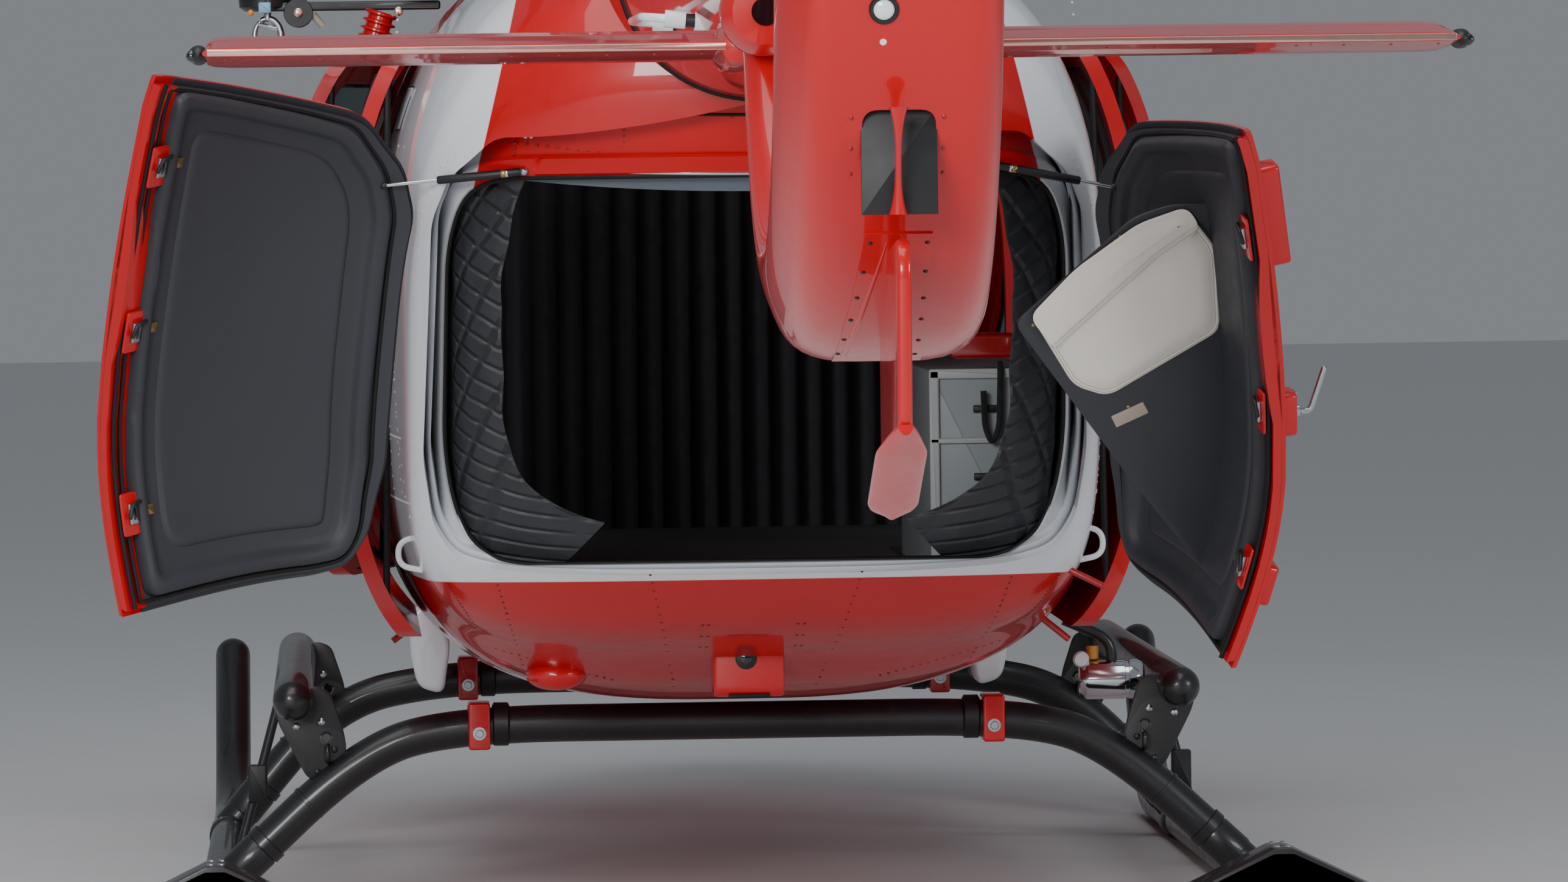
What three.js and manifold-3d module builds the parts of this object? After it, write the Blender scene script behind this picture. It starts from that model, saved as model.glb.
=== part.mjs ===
// Light twin-engine rescue helicopter on skids, rear clamshell doors open.
// Millimetres, +Z up. Nose towards -Y, tail towards +Y, port side +X.
// Stations are distances aft of the nose tip, so y = station - originStation.

import * as THREE from "three";
import { mergeVertices } from "three/addons/utils/BufferGeometryUtils.js";
import Module from "manifold-3d";

const wasm = await Module();
wasm.setup();

// Driving dimensions
const originStation = 5640; // bounding box centre, blades parked crosswise
const wall = 32; // skin, frames and doors
const paneDepth = 8; // glass set back from the skin
const paneThick = 8;
const seamGap = 0.4; // between pieces that touch
const doorGap = 6; // round a door
const hingeHeight = 1250; // reference height of the leaning rear sections
const ringPoints = 28;

const hull = {
  noseSplit: 1050,
  roofSplit: 2060,
  floorTop: 790,
  floorThick: 50,
  postHalf: 28,
  chinHalf: 170,
};

const rotor = {
  station: 3550,
  height: 3300,
  tilt: 5,
  droop: 1.2,
  count: 4,
  parked: 45,
  hubReach: 244,
  rootAt: 245,
};
const tailRotor = { station: 10700, height: 2200, radius: 572, duct: 582, blades: 10 };
const shroud = { radius: 812, half: 155, rim: 105, rimSteps: 4 };
const aftSlot = { halfWidth: 59, low: 1640, high: 1802, front: 11400 };
const bumperBlade = { half: 11.5, top: 1550 };
const gear = {
  halfTrack: 1190,
  tube: 45,
  crossRadius: 43,
  frontTube: 2600,
  rearTube: 4600,
  skidFront: 1400,
  skidRear: 5350,
};
const stabilizer = { station: 9200, height: 1925, halfSpan: 1130, chord: 400 };

const clamshell = {
  hinge: [745, 5922, 1250],
  leanIn: 6.6,
  leanAft: 24.5,
  openPort: 133,
  openStarboard: 99,
  reach: [-700, 150], // of the doorway's cut, forward of the hinge lines
  leafFore: 20, // how far forward of its hinge line a door reaches
  gap: 10,
  lap: 11, // thickness of the rim that laps past the door's inner part
  lapStep: 16,
};
// Landing frame: depths below the skin of its web, plate and back; its overlap outside and inside the doorway
const rebate = { web: 40, plate: 74, back: 88, outside: 14, inside: 16 };
const strut = {
  frameEnd: [499, 6233.7, 1700],
  shutEye: [600, 6157.8, 1650],
  body: 190,
  rod: 171,
  bodyRadius: 9,
  rodRadius: 4,
  ball: 8, // round the rod's eye
};
const board = { across: 300, thick: 8, pouch: 16 }; // fore-and-aft board inside the starboard door
const cockpitHinge = { x: 772, station: 1096, openPort: 12, openStarboard: 23 };
const slidBack = { aft: 1480, out: 66 };

// Cross-sections of the body: station at hinge height, backward lean in degrees,
// half width, bottom, top, height of the widest point, lower and upper roundness.
const hullSections = [
  { at: 0, lean: 0, half: 60, low: 850, high: 960, wide: 905, under: 2, over: 2 },
  { at: 60, lean: 0, half: 190, low: 765, high: 1060, wide: 905, under: 2, over: 2 },
  { at: 180, lean: 0, half: 330, low: 675, high: 1190, wide: 910, under: 2.1, over: 2 },
  { at: 400, lean: 0, half: 490, low: 590, high: 1400, wide: 930, under: 2.2, over: 2 },
  { at: 700, lean: 0, half: 630, low: 530, high: 1650, wide: 980, under: 2.4, over: 2.05 },
  { at: 1100, lean: 0, half: 750, low: 492, high: 1915, wide: 1060, under: 2.7, over: 2.2 },
  { at: 1600, lean: 0, half: 815, low: 478, high: 2130, wide: 1150, under: 3, over: 2.6 },
  { at: 2200, lean: 0, half: 830, low: 475, high: 2220, wide: 1230, under: 3.2, over: 3 },
  { at: 4300, lean: 0, half: 830, low: 475, high: 2250, wide: 1250, under: 3.2, over: 3 },
  { at: 4900, lean: 8, half: 812, low: 490, high: 2250, wide: 1250, under: 3.1, over: 3 },
  { at: 5400, lean: 18, half: 786, low: 548, high: 2230, wide: 1270, under: 3.8, over: 3 },
  { at: 5700, lean: 26, half: 766, low: 628, high: 2200, wide: 1290, under: 4.6, over: 2.8 },
  { at: 5880, lean: 26, half: 746, low: 692, high: 2130, wide: 1310, under: 5.2, over: 2.7 },
  { at: 5980, lean: 26, half: 684, low: 780, high: 2060, wide: 1330, under: 4.2, over: 2.7 },
  { at: 6070, lean: 26, half: 568, low: 890, high: 1980, wide: 1350, under: 3.4, over: 2.6 },
  { at: 6140, lean: 26, half: 404, low: 1010, high: 1880, wide: 1370, under: 2.8, over: 2.4 },
  { at: 6175, lean: 26, half: 244, low: 1120, high: 1760, wide: 1390, under: 2.4, over: 2.2 },
  { at: 6190, lean: 26, half: 90, low: 1260, high: 1550, wide: 1400, under: 2, over: 2 },
];

const cowlSections = [
  { at: 1500, lean: 0, half: 150, low: 2010, high: 2150, wide: 2060, under: 2, over: 2 },
  { at: 1900, lean: 0, half: 400, low: 1980, high: 2360, wide: 2120, under: 2.4, over: 2.4 },
  { at: 2500, lean: 0, half: 520, low: 1950, high: 2680, wide: 2200, under: 2.8, over: 2.6 },
  { at: 3100, lean: 0, half: 570, low: 1940, high: 2840, wide: 2240, under: 3, over: 2.8 },
  { at: 3900, lean: 0, half: 590, low: 1930, high: 2890, wide: 2260, under: 3, over: 2.8 },
  { at: 4800, lean: 0, half: 570, low: 1900, high: 2850, wide: 2240, under: 3, over: 2.8 },
  { at: 5500, lean: 0, half: 480, low: 1870, high: 2720, wide: 2220, under: 2.8, over: 2.6 },
  { at: 6100, lean: 0, half: 365, low: 1850, high: 2550, wide: 2190, under: 2.4, over: 2.4 },
  { at: 6500, lean: 0, half: 305, low: 1845, high: 2455, wide: 2150, under: 2.1, over: 2.1 },
];

const boomSections = [
  { at: 6501, lean: 0, half: 304, low: 1846, high: 2454, wide: 2150, under: 2.1, over: 2.1 },
  { at: 8000, lean: 0, half: 232, low: 1868, high: 2372, wide: 2118, under: 2.1, over: 2.1 },
  { at: 9300, lean: 0, half: 180, low: 1880, high: 2318, wide: 2100, under: 2.1, over: 2.1 },
  { at: 9850, lean: 0, half: 160, low: 1885, high: 2330, wide: 2105, under: 2.1, over: 2.1 },
];

// Side outlines: station, height
const windscreenOutline = [[-200, 1090], [900, 1020], [1000, 1085], [1490, 1990], [1490, 2700], [-200, 2700]];
const chinOutline = [[170, 680], [250, 850], [700, 900], [800, 690], [640, 590], [380, 590]];
const cockpitDoorOutline = [[1090, 660], [1090, 1010], [1190, 1225], [1600, 1985], [2150, 1990], [2150, 660]];
const cockpitPaneOutline = [[1210, 1090], [1270, 1240], [1640, 1915], [2080, 1920], [2080, 1090]];
const slidingDoorOutline = [[2215, 660], [2215, 1990], [3850, 1995], [3850, 660]];
const slidingPaneOutline = [[2330, 1100], [2330, 1915], [3730, 1915], [3730, 1100]];
const rearPaneOutline = [[3985, 1250], [3985, 1925], [4330, 1900], [4760, 1560], [4620, 1290]];

// Clamshell doorway seen square to the hinge lines, port half: x, distance up from the hinge's height
const doorOutline = [
  [0, -441], [560, -441], [650, -425], [698, -349], [719, -185], [696, 394], [658, 506], [560, 624], [0, 756],
];
// Landing frame's opening from behind, port half: x, height
const openingOutline = [
  [0, 836], [540, 842], [616, 890], [656, 980], [676, 1110], [664, 1540], [630, 1650], [560, 1688], [0, 1688],
];
// Board and pouch in the shut starboard door, from the side: station, height
const boardOutline = [[5818, 1638], [6150, 1690], [6230, 1668], [6500, 1668], [6500, 880], [5805, 880]];
const pouchOutline = [
  [5862, 1628], [6000, 1662], [6236, 1634], [6240, 1487], [6150, 1365], [5895, 1390], [5856, 1460],
];

// Colours and finishes
const finishes = {
  red: { color: 0xc8101c, roughness: 0.22, metalness: 0.0 },
  white: { color: 0xe6e9ee, roughness: 0.28, metalness: 0.0 },
  frameGrey: { color: 0xc2c6c8, roughness: 0.5, metalness: 0.0 },
  black: { color: 0x17181b, roughness: 0.55, metalness: 0.0 },
  darkTrim: { color: 0x2b2a31, roughness: 0.8, metalness: 0.0 },
  glass: { color: 0x5d6a6c, roughness: 0.08, metalness: 0.0, transparent: true, opacity: 0.45 },
  steel: { color: 0xb9bcc0, roughness: 0.3, metalness: 1.0 },
  blade: { color: 0x3a3c40, roughness: 0.5, metalness: 0.1 },
  cream: { color: 0xe4e0d0, roughness: 0.9, metalness: 0.0 },
  grey: { color: 0x8f9494, roughness: 0.7, metalness: 0.0 },
};

const degrees = THREE.MathUtils.degToRad;
const aircraft = new THREE.Group();
aircraft.position.y = -originStation;

// Solids and meshes

function solid(geometry) {
  const bare = geometry.clone();
  bare.deleteAttribute("normal");
  bare.deleteAttribute("uv");
  const merged = mergeVertices(bare, 1e-3);
  const mesh = new wasm.Mesh({
    numProp: 3,
    vertProperties: merged.attributes.position.array,
    triVerts: new Uint32Array(merged.index.array),
  });
  const made = new wasm.Manifold(mesh);
  if (made.volume() <= 0) throw new Error("a shape is inside out");
  return made;
}

function join(...parts) {
  return parts.reduce((whole, part) => whole.add(part));
}

function add(name, shape, finish, parent = aircraft) {
  const mesh = shape.getMesh();
  const geometry = new THREE.BufferGeometry();
  geometry.setAttribute("position", new THREE.BufferAttribute(new Float32Array(mesh.vertProperties), 3));
  geometry.setIndex(new THREE.BufferAttribute(new Uint32Array(mesh.triVerts), 1));
  geometry.computeVertexNormals();
  const material = new THREE.MeshStandardMaterial({ ...finishes[finish], flatShading: true });
  const made = new THREE.Mesh(geometry, material);
  made.name = name;
  parent.add(made);
  return made;
}

function block(x, y, z) {
  const geometry = new THREE.BoxGeometry(x[1] - x[0], y[1] - y[0], z[1] - z[0]);
  geometry.translate((x[0] + x[1]) / 2, (y[0] + y[1]) / 2, (z[0] + z[1]) / 2);
  return solid(geometry);
}

// A round bar between two points
function bar(from, to, radius, sides = 12, endRadius = radius) {
  const start = new THREE.Vector3(...from);
  const run = new THREE.Vector3(...to).sub(start);
  const geometry = new THREE.CylinderGeometry(endRadius, radius, run.length(), sides);
  geometry.translate(0, run.length() / 2, 0);
  const turn = new THREE.Quaternion().setFromUnitVectors(new THREE.Vector3(0, 1, 0), run.clone().normalize());
  geometry.applyQuaternion(turn);
  geometry.translate(start.x, start.y, start.z);
  return solid(geometry);
}

function ball(centre, radius, squash = 1) {
  const geometry = new THREE.SphereGeometry(radius, 12, 6);
  geometry.scale(1, squash, 1);
  geometry.translate(...centre);
  return solid(geometry);
}

// A turned shape about the x axis: profile of [radius, x]
function turned(profile, centre, sides = 32) {
  const geometry = new THREE.LatheGeometry(profile.map(([r, x]) => new THREE.Vector2(r, x)), sides);
  geometry.rotateZ(-Math.PI / 2);
  geometry.translate(...centre);
  return solid(geometry);
}

// A tube through points, its bends rounded
function pipe(points, radius, bend, steps, sides = 12) {
  const path = new THREE.CurvePath();
  const spots = points.map((p) => new THREE.Vector3(...p));
  let from = spots[0];
  for (let i = 1; i < spots.length - 1; i++) {
    const before = spots[i].clone().add(spots[i - 1].clone().sub(spots[i]).setLength(bend));
    const after = spots[i].clone().add(spots[i + 1].clone().sub(spots[i]).setLength(bend));
    path.add(new THREE.LineCurve3(from, before));
    path.add(new THREE.QuadraticBezierCurve3(before, spots[i], after));
    from = after;
  }
  path.add(new THREE.LineCurve3(from, spots[spots.length - 1]));
  const corners = Array.from({ length: sides }, (_, i) => {
    const angle = (i / sides) * Math.PI * 2;
    return new THREE.Vector2(radius * Math.cos(angle), radius * Math.sin(angle));
  });
  const round = new THREE.Shape(corners);
  return solid(new THREE.ExtrudeGeometry(round, { steps, extrudePath: path, bevelEnabled: false }));
}

// A flat shape pushed out by depth, its arcs in so many steps
function pushed(shape, depth, curveSegments) {
  return new THREE.ExtrudeGeometry(shape, { depth, bevelEnabled: false, curveSegments });
}

// The outline with every edge moved inwards
function shrunk(points, gap) {
  const area = THREE.ShapeUtils.area(points.map(([u, v]) => new THREE.Vector2(u, v)));
  const side = Math.sign(area);
  return points.map((point, i) => {
    const here = new THREE.Vector2(...point);
    const last = new THREE.Vector2(...points[(i + points.length - 1) % points.length]);
    const next = new THREE.Vector2(...points[(i + 1) % points.length]);
    const arrive = here.clone().sub(last).normalize();
    const leave = next.clone().sub(here).normalize();
    const inA = new THREE.Vector2(-arrive.y, arrive.x).multiplyScalar(side);
    const inB = new THREE.Vector2(-leave.y, leave.x).multiplyScalar(side);
    const mid = inA.clone().add(inB).normalize();
    return [here.x + (mid.x * gap) / mid.dot(inA), here.y + (mid.y * gap) / mid.dot(inA)];
  });
}

function rounded(points, radius) {
  const shape = new THREE.Shape();
  const count = points.length;
  for (let i = 0; i < count; i++) {
    const here = new THREE.Vector2(...points[i]);
    const last = new THREE.Vector2(...points[(i + count - 1) % count]);
    const next = new THREE.Vector2(...points[(i + 1) % count]);
    const before = here.clone().add(last.sub(here).setLength(radius));
    const after = here.clone().add(next.sub(here).setLength(radius));
    if (i === 0) shape.moveTo(before.x, before.y);
    else shape.lineTo(before.x, before.y);
    shape.quadraticCurveTo(here.x, here.y, after.x, after.y);
  }
  return shape;
}

const toSide = new THREE.Matrix4().makeBasis(
  new THREE.Vector3(0, 1, 0),
  new THREE.Vector3(0, 0, 1),
  new THREE.Vector3(1, 0, 0),
);
const toRear = new THREE.Matrix4().makeBasis(
  new THREE.Vector3(1, 0, 0),
  new THREE.Vector3(0, 0, 1),
  new THREE.Vector3(0, -1, 0),
);

// A prism with a side outline, from one x to another
function sidePrism(points, x, radius = 40) {
  const shape = rounded(points, radius);
  const geometry = pushed(shape, x[1] - x[0], 2);
  geometry.applyMatrix4(toSide);
  geometry.translate(x[0], 0, 0);
  return solid(geometry);
}

// A prism with a rear outline, from one station to another
function rearPrism(points, y, radius) {
  const shape = rounded(points, radius);
  const geometry = pushed(shape, y[1] - y[0], 3);
  geometry.applyMatrix4(toRear);
  geometry.translate(0, y[1], 0);
  return solid(geometry);
}

// Rings of points joined into a closed skin, flat at both ends
function ringed(positions, count) {
  const faces = [];
  const last = positions.length / 3 / count - 1;
  for (let i = 0; i < last; i++) {
    for (let j = 0; j < count; j++) {
      const a = i * count + j;
      const b = i * count + ((j + 1) % count);
      faces.push(a, a + count, b, a + count, b + count, b);
    }
  }
  const rear = last * count;
  for (let j = 1; j < count - 1; j++) faces.push(0, j, j + 1, rear, rear + j + 1, rear + j);
  const geometry = new THREE.BufferGeometry();
  geometry.setAttribute("position", new THREE.Float32BufferAttribute(positions, 3));
  geometry.setIndex(faces);
  return solid(geometry);
}

// A body lofted through cross-sections, its skin moved inwards by inset
function loft(sections, inset = 0, count = ringPoints) {
  const positions = [];
  const power = (value, exponent) => Math.sign(value) * Math.abs(value) ** (2 / exponent);
  const last = sections.length - 1;
  sections.forEach((section, i) => {
    const fore = sections[Math.max(i - 1, 0)];
    const aft = sections[Math.min(i + 1, last)];
    const slope = (aft.half - fore.half) / (aft.at - fore.at);
    const length = Math.hypot(1, slope);
    const shrink = inset / length;
    const at = section.at + (inset * slope) / length;
    const ends = i === 0 ? inset * 0.3 : i === last ? -inset * 0.3 : 0;
    const lean = Math.tan(THREE.MathUtils.degToRad(section.lean));
    for (let j = 0; j < count; j++) {
      const angle = (j / count) * Math.PI * 2;
      const up = Math.sin(angle) >= 0;
      const exponent = up ? section.over : section.under;
      const rise = up ? section.high - section.wide : section.wide - section.low;
      const x = (section.half - shrink) * power(Math.cos(angle), exponent);
      const z = section.wide + (rise - shrink) * power(Math.sin(angle), exponent);
      positions.push(x, at + ends + lean * (z - hingeHeight), z);
    }
  });
  return ringed(positions, count);
}

const sides = [
  { name: "port", sign: 1 },
  { name: "starboard", sign: -1 },
];

// A port position carried to the side given by sign
function mirror(point, sign) {
  return [point[0] * sign, point[1], point[2]];
}

function span(sign, from, to) {
  return sign > 0 ? [from, to] : [-to, -from];
}

// A group whose children, drawn in place, are turned about a hinge
function hung(point, axis, degrees) {
  const turn = new THREE.Group();
  turn.position.set(...point);
  turn.quaternion.setFromAxisAngle(axis.clone().normalize(), THREE.MathUtils.degToRad(degrees));
  const back = new THREE.Group();
  back.position.set(-point[0], -point[1], -point[2]);
  turn.add(back);
  aircraft.add(turn);
  return back;
}

// Body shell with its openings

const body = loft(hullSections);
const bodyClear = loft(hullSections, -seamGap);
const shell = body.subtract(loft(hullSections, wall));
const panes = loft(hullSections, paneDepth).subtract(loft(hullSections, paneDepth + paneThick));
const whole = [-1200, 1200];

// The full outline from its port half, whose first and last points are on the centre line
function fullOutline(half) {
  const port = half.slice(1, -1);
  const starboard = port.map(([x, z]) => [-x, z]).reverse();
  return [...port, half[half.length - 1], ...starboard];
}

const doorway = fullOutline(doorOutline);
const leanBack = degrees(clamshell.leanAft);
const toHinge = new THREE.Matrix4().makeBasis(
  new THREE.Vector3(1, 0, 0),
  new THREE.Vector3(0, Math.sin(leanBack), Math.cos(leanBack)),
  new THREE.Vector3(0, -Math.cos(leanBack), Math.sin(leanBack)),
);

// The clamshell doorway as a prism square to the hinge lines, its outline moved inwards by gap
function doorwayPrism(gap, fore = clamshell.reach[1]) {
  const aft = clamshell.reach[0] - fore;
  const shape = rounded(shrunk(doorway, gap), 34);
  const geometry = pushed(shape, fore - aft, 3);
  geometry.translate(0, 0, aft);
  geometry.applyMatrix4(toHinge);
  geometry.translate(0, clamshell.hinge[1], clamshell.hinge[2]);
  return solid(geometry);
}

// Windscreen and chin windows on both sides of their posts, made larger or smaller by grow
function frontWindows(grow) {
  const post = block([-hull.postHalf + grow, hull.postHalf - grow], [-300, 1700], [900, 2800]);
  const chin = block([-hull.chinHalf + grow, hull.chinHalf - grow], [0, 1000], [300, 1200]);
  return {
    windscreen: sidePrism(shrunk(windscreenOutline, -grow), whole).subtract(post),
    chin: sidePrism(shrunk(chinOutline, -grow), whole).subtract(chin),
  };
}

const frontHoles = frontWindows(0);
const holes = join(
  frontHoles.windscreen,
  frontHoles.chin,
  sidePrism(cockpitDoorOutline, whole, 60),
  sidePrism(slidingDoorOutline, whole, 90),
  sidePrism(rearPaneOutline, whole, 60),
  doorwayPrism(0),
);
const frame = shell.subtract(holes);

// Roof with the windscreen post ahead of it and the panel over the clamshell doors behind it
function roofBlocks(grow) {
  const fore = hull.noseSplit + seamGap - grow;
  const low = hull.roofSplit + seamGap - grow;
  const [post, rear] = [60 + grow, 520 + grow];
  return join(
    block(whole, [fore, 7000], [low, 2800]),
    block([-post, post], [fore, 1700], [1500, low + 1]),
    block([-rear, rear], [6060 - grow, 7000], [1780 - grow, low + 1]),
  );
}

const roofRegion = roofBlocks(0);
const roofClear = roofBlocks(seamGap);
const bellyOutline = [[1050.4, 0], [1050.4, 590], [4700, 590], [5450, 780], [6000, 830], [6000, 0]];
const bellyRegion = sidePrism(bellyOutline, whole, 1);
const bellyClear = sidePrism(shrunk(bellyOutline, -seamGap), whole, 1);

add("nose_shell", frame.intersect(block(whole, [-300, hull.noseSplit], [0, 2800])), "red");
add("roof_shell", frame.intersect(roofRegion), "red");
add("belly_shell", frame.intersect(bellyRegion), "red");

const flanks = frame
  .intersect(block(whole, [hull.noseSplit + seamGap, 7000], [0, 2800]))
  .subtract(roofClear)
  .subtract(bellyClear);
for (const { name, sign } of sides) {
  add("side_frame_" + name, flanks.intersect(block(span(sign, 0.3, 1200), [0, 7000], [0, 2800])), "white");
}

// Landing frame behind the clamshell doors: a web round the doorway, a plate for the seals
const landingBack = loft(hullSections, rebate.back);
const web = loft(hullSections, rebate.web).subtract(landingBack).subtract(doorwayPrism(rebate.inside, 300));
const plate = loft(hullSections, rebate.plate).subtract(landingBack);
const landing = join(web, plate)
  .intersect(doorwayPrism(-rebate.outside))
  .subtract(rearPrism(fullOutline(openingOutline), [5300, 7000], 34));
const studs = sides.map(({ sign }) => {
  const [x, y, z] = mirror(strut.frameEnd, sign);
  return bar([x, y - 34, z], [x, y - strut.bodyRadius - 7, z], 6, 8);
});
add("rear_frame", join(landing, ...studs), "frameGrey");

const cabin = loft(hullSections, wall + 1);
const floorLevels = [hull.floorTop - hull.floorThick, hull.floorTop];
const floorFore = loft(hullSections, wall + 22).intersect(block(whole, [760, 2180], floorLevels));
const floorAft = cabin.intersect(block(whole, [2180, 5540], floorLevels));
add("cabin_floor", join(floorFore, floorAft), "grey");

// Glass
const frontPanes = frontWindows(-seamGap);
const rearPane = sidePrism(shrunk(rearPaneOutline, seamGap), whole, 60);
for (const { name, sign } of sides) {
  const half = block(span(sign, 0, 1200), [-300, 7000], [0, 2800]);
  const glass = panes.intersect(half);
  add("windscreen_" + name, glass.intersect(frontPanes.windscreen), "glass");
  add("chin_window_" + name, glass.intersect(frontPanes.chin), "glass");
  add("rear_window_" + name, glass.intersect(rearPane), "glass");
}

// Doors

function doorIn(outline, pane, sign, radius) {
  const region = sidePrism(shrunk(outline, doorGap), span(sign, 200, 1200), radius);
  const door = shell.intersect(region).subtract(sidePrism(pane, whole, 60));
  const glass = panes.intersect(sidePrism(shrunk(pane, seamGap), span(sign, 200, 1200), 60));
  return { door, glass };
}

for (const { name, sign } of sides) {
  const open = sign > 0 ? cockpitHinge.openPort : cockpitHinge.openStarboard;
  const up = new THREE.Vector3(0, 0, 1);
  const leaf = hung([sign * cockpitHinge.x, cockpitHinge.station, 1000], up, -sign * open);
  const cockpit = doorIn(cockpitDoorOutline, cockpitPaneOutline, sign, 60);
  add("cockpit_door_" + name, cockpit.door, "red", leaf);
  add("cockpit_glass_" + name, cockpit.glass, "glass", leaf);
}

for (const { name, sign } of sides) {
  const slid = new THREE.Group();
  slid.position.set(sign * slidBack.out, slidBack.aft, 0);
  aircraft.add(slid);
  const sliding = doorIn(slidingDoorOutline, slidingPaneOutline, sign, 90);
  add("sliding_door_" + name, sliding.door, "red", slid);
  add("sliding_glass_" + name, sliding.glass, "glass", slid);
}

const lapSkin = body.subtract(loft(hullSections, clamshell.lap));
const lapInner = shell.intersect(doorwayPrism(clamshell.gap + clamshell.lapStep, clamshell.leafFore));
const doorLeaf = join(lapSkin.intersect(doorwayPrism(clamshell.gap, clamshell.leafFore)), lapInner);
const doorHollow = loft(hullSections, wall - 1);
for (const { name, sign } of sides) {
  const hinge = mirror(clamshell.hinge, sign);
  const axis = new THREE.Vector3(-sign * Math.tan(degrees(clamshell.leanIn)), Math.tan(leanBack), 1);
  axis.normalize();
  const open = sign > 0 ? clamshell.openPort : clamshell.openStarboard;
  const leaf = hung(hinge, axis, -sign * open);
  const swing = (point, turn) => {
    const origin = new THREE.Vector3(...hinge);
    return new THREE.Vector3(...point).sub(origin).applyAxisAngle(axis, degrees(turn)).add(origin).toArray();
  };
  const half = doorLeaf.intersect(block(span(sign, 4, 1200), [5000, 7000], [0, 2800]));
  const shutEye = mirror(strut.shutEye, sign);
  const [lugX, lugY, lugZ] = shutEye;
  const lug = bar([lugX, lugY + strut.ball + 1.5, lugZ], [lugX, lugY + 28, lugZ], 7, 8);
  const [near, far] = [board.across - board.thick / 2, board.across + board.thick / 2];
  const partition = sidePrism(boardOutline, span(sign, near, far), 20).intersect(doorHollow);
  const door = sign < 0 ? join(half, lug, partition) : join(half, lug);
  add("clamshell_door_" + name, door, "darkTrim", leaf);

  const foot = mirror(strut.frameEnd, sign);
  const eye = swing(shutEye, -sign * open);
  const run = new THREE.Vector3(...eye).sub(new THREE.Vector3(...foot));
  const along = (distance) => run.clone().setLength(distance).add(new THREE.Vector3(...foot)).toArray();
  const barrel = join(ball(foot, 10), bar(foot, along(strut.body), strut.bodyRadius, 14));
  const bore = bar(along(12), along(strut.body + 5), strut.rodRadius + 1.5, 10);
  add("strut_cylinder_" + name, barrel.subtract(bore), "black");
  const rod = join(bar(along(run.length() - strut.rod), eye, strut.rodRadius, 10), ball(eye, strut.ball));
  add("strut_rod_" + name, rod, "steel");
  if (sign < 0) {
    const pouch = sidePrism(pouchOutline, span(sign, near - seamGap - board.pouch, near - seamGap), 30);
    add("door_pouch", pouch, "cream", leaf);
  }
}

// Engine cowl, engines and main rotor

const cowl = loft(cowlSections);
const cowlHollow = loft(cowlSections, 30);
const exhausts = sides.map(({ sign }) => [[sign * 250, 4500, 2560], [sign * 640, 5080, 2640]]);
const exhaustClear = join(...exhausts.map(([a, b]) => bar(a, b, 142, 20)));
const mastFoot = rotor.station + (rotor.height - 2500) * Math.tan(degrees(rotor.tilt));
const mastHole = bar([0, mastFoot, 2500], [0, rotor.station, rotor.height], 110, 20);
const cowlCuts = join(cowlHollow, bodyClear, exhaustClear, mastHole);
add("engine_cowl", cowl.subtract(cowlCuts), "white");

const engineBlocks = join(
  block([-400, 400], [4050, 4900], [2290, 2680]),
  block([-260, 260], [3250, 4060], [2270, 2600]),
  ...exhausts.map(([a, b]) => bar(a, b, 135, 20)),
);
const exhaustBore = exhausts.map(([a, b]) => {
  const mid = a.map((v, i) => v + (b[i] - v) * 0.55);
  const past = a.map((v, i) => v + (b[i] - v) * 1.1);
  return bar(mid, past, 120, 20);
});
add("engines", engineBlocks.subtract(join(...exhaustBore)), "steel");

const tiltAxis = new THREE.Vector3(1, 0, 0);
const mast = hung([0, rotor.station, rotor.height], tiltAxis, rotor.tilt);
const hub = [0, rotor.station, rotor.height];
const arms = Array.from({ length: rotor.count }, (_, i) => {
  const angle = degrees(rotor.parked + (i * 360) / rotor.count);
  const tip = [hub[0] - Math.sin(angle) * rotor.hubReach, hub[1] + Math.cos(angle) * rotor.hubReach, hub[2]];
  return bar(hub, tip, 60, 8);
});
const head = join(
  bar([0, hub[1], 2630], [0, hub[1], 3250], 62, 20),
  bar([0, hub[1], 2960], [0, hub[1], 3030], 190, 24),
  bar([0, hub[1], 3225], [0, hub[1], 3400], 150, 20, 110),
  ...arms,
);
add("rotor_head", head, "steel", mast);

const bladeSections = [
  { at: rotor.rootAt, lean: 0, half: 60, low: -22, high: 22, wide: 0, under: 3, over: 3 },
  { at: 700, lean: 0, half: 85, low: -38, high: 38, wide: 0, under: 2, over: 2 },
  { at: 1150, lean: 0, half: 95, low: -36, high: 36, wide: 0, under: 2, over: 2 },
  { at: 1500, lean: 0, half: 145, low: -17, high: 19, wide: 0, under: 2, over: 2 },
  { at: 5050, lean: 0, half: 145, low: -15, high: 17, wide: 0, under: 2, over: 2 },
  { at: 5495, lean: 0, half: 80, low: -9, high: 10, wide: 0, under: 2, over: 2 },
];
const blade = loft(bladeSections, 0, 12);

for (let i = 0; i < rotor.count; i++) {
  const arm = new THREE.Group();
  arm.position.set(...hub);
  arm.rotation.set(0, 0, degrees(rotor.parked + (i * 360) / rotor.count));
  const droop = new THREE.Group();
  droop.rotation.x = -degrees(rotor.droop);
  arm.add(droop);
  mast.add(arm);
  add("main_blade_" + (i + 1), blade, "blade", droop);
}

// Tail boom, fin, shrouded tail rotor and stabilizer

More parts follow.
